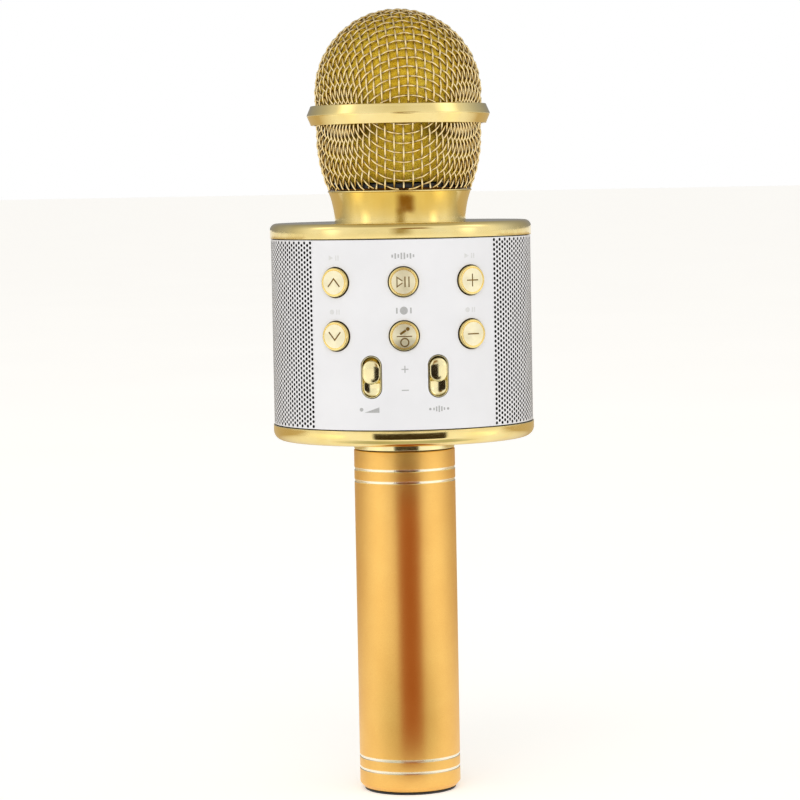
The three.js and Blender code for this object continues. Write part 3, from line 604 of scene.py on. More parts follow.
# ---- Curved skins with holes ----------------------------------------------------------------
class Hole:
    """A hole through the drum's skin. outline(grow) gives its points in the local frame at
    (azimuth, z), counter-clockwise, with the hole made larger by grow."""

    def __init__(self, azimuth, z, outline):
        self.azimuth = math.radians(azimuth)
        self.z = z
        self.outline = outline

    def at(self, radius, grow):
        """Its points as (azimuth in radians, z) on a cylinder."""
        return [(self.azimuth + math.asin(x / radius), self.z + y) for x, y in self.outline(grow)]


def frame_outline(azimuths, levels, steps, inset, radius):
    """The skin's own edge as (azimuth in radians, z), counter-clockwise."""
    shift = inset / radius
    left, right = math.radians(azimuths[0]) + shift, math.radians(azimuths[1]) - shift
    low, high = levels[0] + inset, levels[1] - inset
    across, up = steps
    points = [(left + (right - left) * i / across, low) for i in range(across)]
    points += [(right, low + (high - low) * i / up) for i in range(up)]
    points += [(right - (right - left) * i / across, high) for i in range(across)]
    points += [(left, high - (high - low) * i / up) for i in range(up)]
    return points


def inner_points(azimuths, levels, steps, holes, radius, clear=0.6):
    """A grid of points inside the skin, clear of its holes."""
    columns = np.radians(np.linspace(*azimuths, steps[0] + 1)[1:-1])
    rows = np.linspace(*levels, steps[1] + 1)[1:-1]
    spots = np.array([(a, z) for z in rows for a in columns])
    keep = np.ones(len(spots), bool)
    for hole in holes:
        reach = max(math.hypot(x, y) for x, y in hole.outline(0)) + clear
        keep &= np.hypot((spots[:, 0] - hole.azimuth) * radius, spots[:, 1] - hole.z) > reach
    return spots[keep].tolist()


def curved_skin(name, materials, azimuths, radii, holes, steps, ease=0.0, grid=True):
    """A wall of the drum with holes through it. ease rounds the outer edges."""
    inner, outer = radii
    numbers = range(len(holes) + 1)

    def contour(number, radius, grow):
        if number == 0:
            return frame_outline(azimuths, SKIN_LEVELS, steps, grow, outer)
        return holes[number - 1].at(radius if ease else outer, grow)

    def standing(spots, radius):
        return [(radius * math.sin(a), -radius * math.cos(a), z) for a, z in spots]

    loose = inner_points(azimuths, SKIN_LEVELS, steps, holes, outer) if grid else []
    owner, flat, edges, rings = [], [], [], []
    for number in numbers:
        spots = contour(number, outer, ease)
        ring = range(len(flat), len(flat) + len(spots))
        flat += spots
        owner += [number] * len(spots)
        edges += [(ring[i], ring[(i + 1) % len(ring)]) for i in range(len(ring))]
        rings.append([ring])
    flat += loose
    owner += [-1] * len(loose)
    triangles = delaunay_2d_cdt([Vector((a * outer, z)) for a, z in flat], edges, [], 0, 1e-7)[2]
    kept = [(a, b, c) for a, b, c in triangles if not (owner[a] == owner[b] == owner[c] and owner[a] > 0)]
    # From the outer face over the rounded edge to the inner face, each contour is a chain of rings.
    angles = np.linspace(0, math.pi / 2, 4)[1:] if ease else []
    stages = [(outer - ease * (1 - math.cos(a)), ease * (1 - math.sin(a))) for a in angles]
    points = standing(flat, outer)
    for radius, grow in [*stages, (inner, 0.0)]:
        for number in numbers:
            start = len(points)
            points += standing(contour(number, radius, grow), radius)
            rings[number].append(range(start, len(points)))
    back = {front: rear for chain in rings for front, rear in zip(chain[0], chain[-1])}
    back.update(zip(range(len(flat) - len(loose), len(flat)), range(len(points), len(points) + len(loose))))
    points += standing(loose, inner)
    faces = kept + [(back[c], back[b], back[a]) for a, b, c in kept]
    finish = [0] * len(faces)
    # The holes' walls take the last material; for the side grilles that is the black cloth, as painted shade
    # in the holes.
    for number, chain in enumerate(rings):
        for upper, lower in zip(chain, chain[1:]):
            for i in range(len(upper)):
                k = (i + 1) % len(upper)
                quad = (upper[i], lower[i], lower[k], upper[k])
                faces.append(quad if number == 0 else quad[::-1])
                finish.append(min(number, len(materials) - 1))
    return piece(name, points, faces, materials, finish=finish)


# ---- Woven wire -----------------------------------------------------------------------------
WIRE_RADIUS = 0.3
WIRE_SIDES = 8
WIRE_STEPS = 5


def dome_surface(radius, centre):
    """A half ball on a straight wall: its signed value and gradient at a point."""
    def field(p):
        out = p - Vector((0, 0, min(p.z, centre)))
        return out.length - radius, out.normalized()

    return field


def basket_surface(radius, belly, drop):
    """A half ellipsoid that hangs below a straight wall."""
    def field(p):
        across = math.hypot(p.x, p.y)
        down = min(0.0, p.z - belly)
        scaled = math.hypot(across / radius, down / drop)
        slope = Vector((p.x / radius**2, p.y / radius**2, down / drop**2)) / scaled
        return (scaled - 1) / slope.length, slope.normalized()

    return field


def settle(start, field, anchors, side=None):
    """The point on the surface at set distances from the anchors, by Newton's method. With one
    anchor, side keeps the point in the plane through the axis square to it."""
    q = start.copy()
    for _ in range(12):
        value, gradient = field(q)
        rows, misses = [gradient], [value]
        for anchor, reach in anchors:
            gap = q - anchor
            rows.append(gap.normalized())
            misses.append(gap.length - reach)
        if side is not None:
            rows.append(side)
            misses.append(q.dot(side))
        matrix = Matrix(rows)
        if abs(matrix.determinant()) < 1e-3:
            return None
        step = matrix.inverted() @ Vector(misses)
        q -= step
        if step.length < 1e-3:
            return q
    return None


def drape(field, pole, heading, along, across, inside, reach=40):
    """Lays a plain weave over a surface from its pole, as cloth of fixed wire spacing drapes.
    Returns the crossings as {(i, j): point}: i counts along the heading and j across it."""
    forward = Vector((math.sin(heading), -math.cos(heading), 0))
    sideways = Vector((math.cos(heading), math.sin(heading), 0))
    nodes = {(0, 0): pole}
    for axis, step, direction, side in ((0, along, forward, sideways), (1, across, sideways, forward)):
        for sign in (1, -1):
            before, here = pole - direction * sign * step, pole
            for n in range(1, reach):
                found = settle(here + (here - before), field, [(here, step)], side)
                if found is None or not inside(found):
                    break
                before, here = here, found
                nodes[(sign * n, 0) if axis == 0 else (0, sign * n)] = found
    for sign_i in (1, -1):
        for sign_j in (1, -1):
            for total in range(2, 2 * reach):
                for n in range(1, total):
                    i, j = sign_i * n, sign_j * (total - n)
                    left, below = nodes.get((i - sign_i, j)), nodes.get((i, j - sign_j))
                    corner = nodes.get((i - sign_i, j - sign_j))
                    if left is None or below is None or corner is None:
                        continue
                    found = settle(left + below - corner, field, [(left, along), (below, across)])
                    if found is not None and inside(found) and (found - corner).length > WIRE_RADIUS:
                        nodes[(i, j)] = found
    return nodes


def wire_runs(nodes, family):
    """The chains of neighbouring crossings along one family of wires, in order."""
    lines = {}
    for key in nodes:
        lines.setdefault(key[1 - family], []).append(key)
    for keys in lines.values():
        keys.sort(key=lambda k: k[family])
        run = [keys[0]]
        for key in keys[1:]:
            if key[family] == run[-1][family] + 1:
                run.append(key)
            else:
                yield run
                run = [key]
        yield run


def spline(points, steps):
    """Catmull-Rom samples through the points, with the share of the way along each span."""
    padded = [2 * points[0] - points[1], *points, 2 * points[-1] - points[-2]]
    for i in range(1, len(padded) - 2):
        a, b, c, d = padded[i - 1 : i + 3]
        for k in range(steps):
            t = k / steps
            yield i - 1, t, 0.5 * (
                2 * b + (c - a) * t + (2 * a - 5 * b + 4 * c - d) * t * t + (3 * b - a - 3 * c + d) * t**3
            )
    yield len(points) - 2, 1.0, points[-1]


def crimped(run, nodes, field, family):
    """A wire's centre line, over one crossing wire and under the next, with its height there."""
    line = []
    for span, t, point in spline([nodes[key] for key in run], WIRE_STEPS):
        sign = (1 if sum(run[span]) % 2 == 0 else -1) * (1 if family == 0 else -1)
        lift = sign * math.cos(math.pi * t)
        value, outward = field(point)
        line.append((point + outward * (lift * WIRE_RADIUS * 1.02 - value), outward, lift))
    return line


def add_tube(run, points, faces, painted_wire_shade):
    """A closed tube round a centre line, with its vertices' lift from 0 (inside) to 1 (outside), which the
    wire's colour uses as painted shade: darker under crossings and on the inner side.
    """
    first = len(points)
    for n, (centre, outward, lift) in enumerate(run):
        ahead = run[min(n + 1, len(run) - 1)][0] - run[max(n - 1, 0)][0]
        sideways = ahead.cross(outward).normalized()
        upright = sideways.cross(ahead).normalized()
        for k in range(WIRE_SIDES):
            angle = TURN * k / WIRE_SIDES
            offset = upright * math.cos(angle) + sideways * math.sin(angle)
            points.append(centre + offset * WIRE_RADIUS)
            # Painted shade: this value darkens the wire where it dips under a crossing wire and on its inner
            # side.
            painted_wire_shade.append(0.5 + 0.3 * lift + 0.2 * math.cos(angle))
    for n in range(len(run) - 1):
        low, high = first + n * WIRE_SIDES, first + (n + 1) * WIRE_SIDES
        for k in range(WIRE_SIDES):
            m = (k + 1) % WIRE_SIDES
            faces.append((low + k, low + m, high + m, high + k))
    final = first + (len(run) - 1) * WIRE_SIDES
    faces.append(tuple(range(first + WIRE_SIDES - 1, first - 1, -1)))
    faces.append(tuple(range(final, final + WIRE_SIDES)))


def wire_net(name, node, field, pole, heading, spacing, inside, keep):
    """A net draped over a surface where inside(point) holds, clipped to where keep(point) does."""
    nodes = drape(field, Vector((0, 0, pole)), heading, *spacing, inside)
    points, faces, painted_wire_shade = [], [], []
    for family in (0, 1):
        for chain in wire_runs(nodes, family):
            if len(chain) < 2:
                continue
            run = []
            for sample in [*crimped(chain, nodes, field, family), None]:
                if sample is not None and keep(sample[0]):
                    run.append(sample)
                    continue
                if len(run) > 2:
                    add_tube(run, points, faces, painted_wire_shade)
                run = []
    obj = piece(name, points, faces, [WIRE], sharp=60)
    # The lift attribute carries the wire's painted shade.
    attribute = obj.data.attributes.new("lift", "FLOAT", "POINT")
    attribute.data.foreach_set("value", np.array(painted_wire_shade, np.float32))
    publish(obj, "grille_head", "woven_gold_wire", node)


# ---- Grille head ----------------------------------------------------------------------------
UPPER_TURN = math.radians(6.25)
LOWER_TURN = math.radians(2.45)
GRILLE_HEM = (22.75, 0.32)
FOAM_POCKET = 14.2
FOAM_POCKET_TOP = 230


def upper_net():
    radius = BALL_RADIUS - 2 * WIRE_RADIUS
    foot = BAND_LOW + 1.2
    wire_net(
        "woven_upper_grille", "upper_grille", dome_surface(radius, BALL_CENTRE), BALL_CENTRE + radius,
        UPPER_TURN, (3.1, 2.92), lambda p: p.z > foot - 4, lambda p: p.z > foot,
    )


def lower_net():
    field = basket_surface(BASKET_RADIUS - 2 * WIRE_RADIUS, BASKET_BELLY, BASKET_DROP)
    top = BAND_LOW + 1.6
    wire_net(
        "woven_lower_grille", "lower_grille", field, BASKET_BELLY - BASKET_DROP,
        LOWER_TURN, (3.0, 3.0), lambda p: p.z < top + 4, lambda p: COLLAR_LIP + 0.15 < p.z < top,
    )


def grille_hem():
    """The rolled wire edge that sits on the collar's lip."""
    across, thick = GRILLE_HEM
    outline = [Vector((across + thick * x, COLLAR_LIP + 0.4 + thick * y)) for x, y in circle(1, 16)]
    # It has no lift attribute, so the wire's material paints it all in its darkest, shaded tone.
    publish(revolve("rolled_grille_hem", outline, [WIRE], 160), "grille_head", "woven_gold_wire")


def grille_band():
    middle = (BAND_LOW + BAND_HIGH) / 2
    inside = BALL_RADIUS + 0.3
    outline = eased([
        (inside, BAND_LOW),
        (BAND_RIDGE - 1.3, BAND_LOW, 0.3),
        (BAND_RIDGE - 0.95, BAND_LOW + 0.9, 0.6),
        (BAND_RIDGE + 0.02, middle, 1.0),
        (BAND_RIDGE - 0.95, BAND_HIGH - 0.9, 0.6),
        (BAND_RIDGE - 1.3, BAND_HIGH, 0.3),
        (inside, BAND_HIGH),
    ], 8)
    lathe("gold_grille_band", outline, CHROME, 192, "gold_chrome", "grille_band", "grille_head")


def foam_outline():
    """From the pocket's crown down its wall, up the outside and over to the axis."""
    radius = BALL_RADIUS - 1.35
    outer = []
    for z in np.linspace(FOAM_FOOT, BALL_CENTRE, 40):
        drop = max(0.0, BASKET_BELLY - z) / BASKET_DROP
        outer.append((BASKET_RADIUS * math.sqrt(1 - drop * drop) - 1.3, z))
    for angle in np.linspace(0, math.pi / 2, 44)[1:]:
        outer.append((radius * math.cos(angle), BALL_CENTRE + radius * math.sin(angle)))
    outer[-1] = (0.0, BALL_CENTRE + radius)
    crown = [
        (0.0, FOAM_POCKET_TOP),
        (FOAM_POCKET * 0.7, FOAM_POCKET_TOP - 1.5),
        (FOAM_POCKET, FOAM_POCKET_TOP - 5),
    ]
    wall = [(FOAM_POCKET, z) for z in np.linspace(FOAM_POCKET_TOP - 8, FOAM_FOOT, 12)]
    return crown + wall + outer


def foam_crease(angle, z):
    """How far the foam is drawn in below the band: not at its front and back, most at its sides."""
    side = abs(math.cos(angle))
    return math.exp(-(((z - 215.6) / 2.8) ** 2)) * min(1.0, (side / 0.5) ** 2)


def foam_slack(z):
    """How far the foam is narrower towards its foot."""
    return min(1.0, max(0.0, (213 - z) / 3))


def foam_shape(r, angle, z):
    if r < FOAM_POCKET + 0.01:
        return r, z
    spot = Vector((r * math.cos(angle), r * math.sin(angle), z))
    grain = 0.35 * noise.noise(spot * 0.16) + 0.14 * noise.noise(spot * 0.9)
    return r - 3.2 * foam_crease(angle, z) - 1.1 * foam_slack(z) + grain, z


def foam_windscreen():
    obj = revolve("foam_windscreen_mustard", foam_outline(), [FOAM], 220, shape=foam_shape, sharp=70)
    # Painted shade: sunk darkens the foam in its crease below the band and within 3 mm of its foot.
    sunk = []
    for vertex in obj.data.vertices:
        x, y, z = vertex.co / MM
        foot = max(0.0, 1 - (z - FOAM_FOOT) / 3)
        sunk.append(min(0.9, 0.8 * foam_crease(math.atan2(y, x), z) + 0.5 * foot))
    obj.data.attributes.new("sunk", "FLOAT", "POINT").data.foreach_set("value", sunk)
    publish(obj, "grille_head", "mustard_foam", "foam_windscreen")


# ---- Neck -----------------------------------------------------------------------------------
COLLAR_BASE = 21.35
COLLAR_MOUTH = 23.3
COLLAR_BORE = 20.3
COLLAR_SHELF = 194.4
THREAD_RING_BORE = 18.4
THREAD_RING_SHOULDER = 196.6
POST_BORE = 9.5
POST_RADIUS = 13.6
POST_SHOULDER = 189.2
CUSHION_CUP = (12.1, 204.3)


def threads(low, high, depth, pitch, outer):
    """Up the outside of a threaded wall, as rounded ridges."""
    count = round((high - low) / pitch)
    step = (high - low) / count
    ridge = ((0.1, depth), (0.35, 0), (0.65, 0), (0.9, depth))
    return [Vector((outer - sunk, low + step * (n + share))) for n in range(count) for share, sunk in ridge]


def neck_collar():
    shoulder = DRUM_TOP - 1.9
    flare = [
        Vector((COLLAR_BASE + (COLLAR_MOUTH - COLLAR_BASE) * t * t, DRUM_TOP + (COLLAR_LIP - DRUM_TOP) * t))
        for t in np.linspace(0.06, 0.94, 16)
    ]
    outline = eased([
        (COLLAR_BORE, COLLAR_FOOT),
        (COLLAR_FLANGE, COLLAR_FOOT, 0.3),
        (COLLAR_FLANGE, shoulder, 0.3),
        (COLLAR_BASE, shoulder, 0.2),
    ])
    outline += flare[:-1]
    outline += eased([
        flare[-1].to_tuple(),
        (COLLAR_MOUTH + 0.12, COLLAR_LIP - 0.45, 0.2),
        (COLLAR_MOUTH + 0.05, COLLAR_LIP, 0.22),
        (COLLAR_MOUTH - 0.85, COLLAR_LIP, 0.3),
        (COLLAR_MOUTH - 1.1, COLLAR_SHELF, 0.1),
        (COLLAR_BORE, COLLAR_SHELF, 0.2),
    ])
    lathe("flared_neck_collar", outline, CHROME, 192, "gold_chrome", "neck_collar")


def seal_ring():
    low, high = heights("grille_seal")
    middle = (low + high) / 2
    outer = radius_of("grille_seal")
    outline = eased([
        (COLLAR_BORE + 0.05, low),
        (outer, low, 0.3),
        (outer, middle - 0.2, 0.1),
        (outer - 0.35, middle),
        (outer, middle + 0.2, 0.1),
        (outer, high, 0.35),
        (COLLAR_BORE + 0.05, high, 0.3),
    ])
    lathe("ribbed_grille_seal", outline, RUBBER, 128, "soft_rubber", "grille_seal", "grille_seal")


def thread_ring():
    low, high = heights("grille_thread_ring")
    flange = radius_of("grille_thread_ring")
    outline = [Vector((THREAD_RING_BORE, low))]
    outline += threads(low + 0.2, THREAD_RING_SHOULDER - 0.4, 0.35, 1.3, 19.9)
    outline += eased([
        (19.5, THREAD_RING_SHOULDER),
        (flange, THREAD_RING_SHOULDER, 0.25),
        (flange, high, 0.3),
        (THREAD_RING_BORE, high, 0.3),
        (THREAD_RING_BORE, THREAD_RING_SHOULDER),
    ])
    lathe(
        "threaded_grille_ring", outline, BLACK, 128, "black_plastic", "grille_thread_ring", "thread_ring"
    )


def capsule_cradle():
    low, high = heights("capsule_cradle")
    outer = radius_of("capsule_cradle")
    outline = [Vector((POST_BORE, low)), *threads(low + 0.2, POST_SHOULDER - 0.8, 0.3, 1.5, outer)]
    outline += eased([
        (outer - 0.3, POST_SHOULDER - 0.6),
        (outer - 0.3, POST_SHOULDER, 0.3),
        (POST_RADIUS, POST_SHOULDER, 0.8),
        (POST_RADIUS, high, 0.4),
        (POST_BORE, high, 0.3),
        (POST_BORE, POST_SHOULDER),
    ])
    lathe("capsule_cradle_post", outline, BLACK, 128, "black_plastic", "capsule_cradle")


def capsule_cushion():
    low, high = heights("capsule_cushion")
    outer = radius_of("capsule_cushion")
    cup, floor_level = CUSHION_CUP
    ribs = []
    for n in range(4):
        z = low + 0.6 + n * (high - low - 1.2) / 4
        ribs += [(outer - 0.5, z + 0.15), (outer, z + 0.7, 0.3)]
        ribs += [(outer, z + 1.5, 0.3), (outer - 0.5, z + 2.1)]
    outline = eased([
        (POST_BORE, low),
        (outer - 0.5, low, 0.3),
        *ribs,
        (outer - 0.5, high, 0.3),
        (cup, high, 0.2),
        (cup, floor_level, 0.2),
        (POST_BORE, floor_level),
    ])
    lathe("ribbed_capsule_cushion", outline, RUBBER, 128, "soft_rubber", "capsule_cushion")


def mic_capsule():
    radius = radius_of("mic_capsule")
    outline = eased([
        (0, heights("mic_capsule")[0]),
        (8.8, heights("mic_capsule")[0], 0.4),
        (8.8, 204.6, 0.2),
        (radius, 204.6, 0.3),
        (radius, 215.4, 0.15),
        (radius - 0.35, 215.8, 0.1),
        (radius - 0.35, 216.8, 0.1),
        (radius, 217.2, 0.15),
        (radius, 221, 0.6),
        (radius - 0.9, 223, 0.6),
        (radius - 2.2, 223.5, 0.2),
        (radius - 2.4, 222.8, 0.1),
        (0, 223.4),
    ])
    holes = []
    for ring, count in ((2.4, 8), (4.6, 14), (6.8, 20), (8.4, 26)):
        for x, y in circle(ring, count):
            layers = [(circle(0.42, 10), z) for z in (222.4, 224)]
            holes.append(loft("hole", layers, [BLACK], shifted(x, y)))
    can = revolve("capsule_can", outline, [STEEL], 96)
    publish(carved(can, [joined("holes", holes)]), "housing", "bright_steel", "mic_capsule")


# ---- Drum caps ------------------------------------------------------------------------------
TOP_FILLET = 2.1
BOTTOM_FILLET = 3.1
CAP_WALL = 1.6
HANDLE_BORE = 13.6
SCREW_Y = 26
SCREW_SHANK = 1.5


def top_cap():
    inside = CAP_RADIUS - CAP_WALL
    bore = COLLAR_BASE + 0.3
    outline = eased([
        (inside, TOP_CAP_FOOT, 0.15),
        (CAP_RADIUS, TOP_CAP_FOOT, 0.25),
        (CAP_RADIUS, DRUM_TOP, TOP_FILLET),
        (bore, DRUM_TOP, 0.3),
        (bore, DRUM_TOP - CAP_WALL),
        (inside, DRUM_TOP - CAP_WALL, 1.5),
    ], 10)
    lathe("gold_top_cap", outline, CHROME, 256, "gold_chrome", "top_cap")


def bottom_cap():
    inside = CAP_RADIUS - CAP_WALL
    outline = eased([
        (HANDLE_BORE, DRUM_BOTTOM, 0.3),
        (CAP_RADIUS, DRUM_BOTTOM, BOTTOM_FILLET),
        (CAP_RADIUS, BOTTOM_CAP_LIP, 0.25),
        (inside, BOTTOM_CAP_LIP, 0.15),
        (inside, DRUM_BOTTOM + CAP_WALL, 1.5),
        (HANDLE_BORE, DRUM_BOTTOM + CAP_WALL),
    ], 10)
    screw_bore = eased([
        (0, DRUM_BOTTOM - 1),
        (3.35, DRUM_BOTTOM - 1),
        (3.1, DRUM_BOTTOM + 0.2, 0.2),
        (3.1, BOTTOM_CAP_LIP),
        (0, BOTTOM_CAP_LIP),
    ])
    cap = revolve("gold_bottom_cap", outline, [CHROME], 256)
    cutters = [revolve("bore", screw_bore, [CHROME], 48, shifted(0, y)) for y in (-SCREW_Y, SCREW_Y)]
    publish(carved(cap, cutters), "housing", "gold_chrome", "bottom_cap")


def case_screw(name, y):
    """A pan head with a cross recess, its shank and its thread."""
    low, high = heights(name)
    outline = [Vector((0, low))]
    outline += eased([(2.1, low), (2.7, low + 0.9, 0.3), (2.7, low + 1.7, 0.1), (SCREW_SHANK, low + 1.7)])
    outline += threads(low + 2.2, high - 1, 0.3, 1.0, SCREW_SHANK)
    outline += [Vector((0.3, high)), Vector((0, high))]
    screw = revolve(name + "_cross", outline, [STEEL], 40, shifted(0, y))
    layers = [(block_outline(3.0, 0.55, 0.1), low - 0.5), (block_outline(1.4, 0.4, 0.1), low + 0.9)]
    arms = [loft("arm", layers, [STEEL], shifted(0, y) @ turned(angle)) for angle in (20, 110)]
    publish(carved(screw, arms), "housing", "bright_steel", name)


# ---- Skins ----------------------------------------------------------------------------------
PANEL_EASE = 0.16
HOLE_PITCH = 1.53
HOLE_COLUMN = HOLE_PITCH * math.sin(math.radians(60))
HOLE_RADIUS = 0.52
SHEET_EDGE = 0.2
SHEET_RADII = (42.1, 42.2)
CLOTH_RADII = (41.15, 41.4)


def round_hole(radius):
    return lambda grow: circle(radius + grow, 64)


def slot_hole(width, height):
    return lambda grow: pill(width + 2 * grow, height + 2 * grow)


def box_hole(width, height, corner):
    return lambda grow: block_outline(width + 2 * grow, height + 2 * grow, corner + grow)


def panel(name, node, middle, half_angle, holes, steps):
    skin = curved_skin(
        name, [WHITE], (middle - half_angle, middle + half_angle), PANEL_RADII, holes, steps, PANEL_EASE
    )
    publish(skin, "housing", "satin_white", node)


def front_panel():
    holes = [Hole(azimuth, z, round_hole(KEY_HOLE)) for azimuth, z in KEYS.values()]
    slot = slot_hole(SLOT[0] + 0.5, SLOT[1] + 0.5)
    holes += [Hole(azimuth, SLIDER_HEIGHT, slot) for azimuth in (-SLIDER_AZIMUTH, SLIDER_AZIMUTH)]
    panel("white_front_panel", "front_panel", 0, FRONT_HALF_ANGLE, holes, (64, 40))


def rear_panel():
    shapes = {
        "lens": round_hole(1.5),
        "power": round_hole(KEY_HOLE),
        "usb": box_hole(13.8, 6.4, 0.5),
        "card": box_hole(12.4, 2.0, 0.4),
        "jack": round_hole(4.2),
        "charge": box_hole(8.4, 3.5, 0.9),
    }
    holes = [Hole(180, REAR_HEIGHTS[name], shape) for name, shape in shapes.items()]
    panel("white_rear_panel", "rear_panel", 180, REAR_HALF_ANGLE, holes, (36, 40))


def side_grille(side):
    """A perforated sheet from the front panel's edge to the rear panel's, and the cloth behind it."""
    sign = 1 if side == "right" else -1
    start, end = FRONT_HALF_ANGLE + SHEET_EDGE, 180 - REAR_HALF_ANGLE - SHEET_EDGE
    low, high = SKIN_LEVELS
    radius = SHEET_RADII[1]
    length = math.radians(end - start) * radius
    columns = int((length - 2 * HOLE_RADIUS - 0.2) / HOLE_COLUMN) + 1
    rows = int((high - low - 2 * HOLE_RADIUS - 0.3) / HOLE_PITCH)
    margin = (high - low - rows * HOLE_PITCH) / 2
    first = (length - (columns - 1) * HOLE_COLUMN) / 2
    holes = []
    for column in range(columns):
        azimuth = sign * (start + math.degrees((first + column * HOLE_COLUMN) / radius))
        odd = column % 2
        for row in range(rows + 1 - odd):
            z = low + margin + (row + odd / 2) * HOLE_PITCH
            holes.append(Hole(azimuth, z, lambda grow: circle(HOLE_RADIUS, 12)))
    azimuths = sorted((sign * start, sign * end))
    # The holes' walls take the black cloth material: painted shade in the holes, whose real walls are white.
    sheet = curved_skin(
        f"perforated_{side}_grille", [SHEET, CLOTH], azimuths, SHEET_RADII, holes, (columns, rows), grid=False
    )
    publish(sheet, "housing", "speaker_mesh", f"{side}_side_grille")
    cloth = curved_skin(f"{side}_grille_cloth", [CLOTH], azimuths, CLOTH_RADII, [], (90, 20))
    publish(cloth, "housing", "black_plastic")


# ---- Keys -----------------------------------------------------------------------------------
ENGRAVING = 0.18
ICON_SPAN = (KEY_FACE - ENGRAVING, KEY_FACE + 1)
STROKE = 0.46


def stroke(points, width=STROKE):
    """A square-ended band along a line of points, as a closed outline, counter-clockwise."""
    line = [Vector(p) for p in points]
    left, right = [], []
    for i, here in enumerate(line):
        back = (here - line[i - 1]).normalized() if i else (line[1] - here).normalized()
        ahead = (line[i + 1] - here).normalized() if i < len(line) - 1 else back
        mitre = (back + ahead).normalized()
        out = Vector((-mitre.y, mitre.x)) * (width / 2 / max(0.3, mitre.dot(back)))
        left.append(here + out)
        right.append(here - out)
    return [tuple(p) for p in right + left[::-1]]


def ring_stroke(x, y, radius, width, start=0.0, sweep=TURN, count=24):
    angles = [start + sweep * i / count for i in range(count + 1)]
    return stroke([(x + radius * math.cos(a), y + radius * math.sin(a)) for a in angles], width)


def disc(x, y, radius):
    return [(x + px, y + py) for px, py in circle(radius, 20)]


def bar(x, low, high, width):
    return stroke([(x, low), (x, high)], width)


def dash(reach, width, y=0.0):
    return stroke([(-reach, y), (reach, y)], width)


# Each icon is a list of outlines and of rings (x, y, radius).
ICONS = {
    "up": [stroke([(-2.1, -1.35), (0, 1.2), (2.1, -1.35)])],
    "down": [stroke([(-2.1, 1.35), (0, -1.2), (2.1, 1.35)])],
    "play": [
        stroke([(-0.28, 0.28), (-2.0, 1.5), (-2.0, -1.5), (-0.28, -0.28)], 0.34),
        bar(0.5, -1.65, 1.65, 0.4),
        bar(1.75, -1.65, 1.65, 0.4),
    ],
    "plus": [[
        (-2.05, -0.2), (-0.2, -0.2), (-0.2, -2.0), (0.2, -2.0), (0.2, -0.2), (2.05, -0.2),
        (2.05, 0.2), (0.2, 0.2), (0.2, 2.0), (-0.2, 2.0), (-0.2, 0.2), (-2.05, 0.2),
    ]],
    "minus": [dash(2.05, 0.4)],
    "record": [
        dash(2.4, 0.34, -0.15),
        stroke([(-1.3, 0.5), (0.5, 1.75)], 0.7),
        disc(1.1, 2.15, 0.6),
        (0.1, -2.05, 1.25),
    ],
    "power": [
        bar(0, 0.35, 1.9, 0.4),
        ring_stroke(0, -0.1, 1.65, 0.4, math.radians(122), math.radians(296)),
    ],
}
KEY_FINISH = [CHROME, SPUN, ENGRAVED]


def engraver(shape, matrix):
    """A prism or a ring that cuts an icon's shape, and leaves its own darker gold in the cut as painted shade
    in the groove.
    """
    low, high = ICON_SPAN
    if isinstance(shape, tuple):
        x, y, radius = shape
        inner, outer = radius - 0.2, radius + 0.2
        outline = [Vector(p) for p in ((inner, low), (outer, low), (outer, high), (inner, high))]
        return revolve("icon", outline, KEY_FINISH, 32, matrix @ shifted(x, y), lambda r, z: 2)
    count = len(shape)
    points = [(x, y, z) for z in ICON_SPAN for x, y in shape]
    faces = [tuple(range(count - 1, -1, -1)), tuple(range(count, 2 * count))]
    for i in range(count):
        k = (i + 1) % count
        faces.append((i, k, count + k, count + i))
    return piece("icon", points, faces, KEY_FINISH, matrix, [2] * len(faces))


def key_cap(name, azimuth, z):
    """A key with a polished bevel, a fine groove inside it and an engraved, spun face."""
    groove = KEY_RADIUS - 0.62
    bed = KEY_FACE - 0.2
    flange, flange_foot, flange_top = 5.5, 39, 39.9
    pin, pin_foot = 1.6, 38.7
    outline = eased([
        (0, pin_foot),
        (pin, pin_foot),
        (pin, flange_foot, 0.1),
        (flange, flange_foot, 0.15),
        (flange, flange_top, 0.15),
        (KEY_RADIUS, flange_top, 0.1),
        (KEY_RADIUS, KEY_FACE, 0.34),
        (groove + 0.16, KEY_FACE, 0.05),
        (groove + 0.06, bed, 0.03),
        (groove - 0.06, bed, 0.03),
        (groove - 0.16, KEY_FACE, 0.05),
        (0, KEY_FACE),
    ], 4)
    matrix = facing(azimuth, z)
    on_face = lambda r, height: int(height > KEY_FACE - 0.02 and r < groove)
    key = revolve(f"{name}_key_cap", outline, KEY_FINISH, 72, matrix, on_face)
    cutters = [engraver(shape, matrix) for shape in ICONS[name]]
    publish(carved(key, cutters), f"{name}_button", "gold_key_chrome", f"{name}_button")


def key_gap_shade_ring(name, azimuth, z):
    """A black ring put in the gap round a key, where it paints the gap's shade."""
    inner, outer = KEY_RADIUS + 0.12, KEY_HOLE - 0.03
    low, high = 40.9, 42.05
    outline = eased([(inner, low), (outer, low), (outer, high, 0.05), (inner, high, 0.05)], 2)
    ring = revolve(f"{name}_key_gap_shade_ring", outline, [BLACK], 72, facing(azimuth, z))
    publish(ring, "housing", "black_plastic")


# ---- Sliders --------------------------------------------------------------------------------
DISH_FOOT = 38.95
DISH_DEPTH = 1.25
DISH_TOP = 41.95
DISH_RIM = 42.3
DISH_HALF_WIDTH = 2.9
KNOB_GAP = 0.12
KNOB_SHOULDER = 42.55
KNOB_CROWN = 43.3


def dish_height(across):
    """Height of the dish at a distance from its middle line."""
    share = min(1.0, across / DISH_HALF_WIDTH)
    return DISH_TOP - DISH_DEPTH * math.sqrt(1 - share * share)


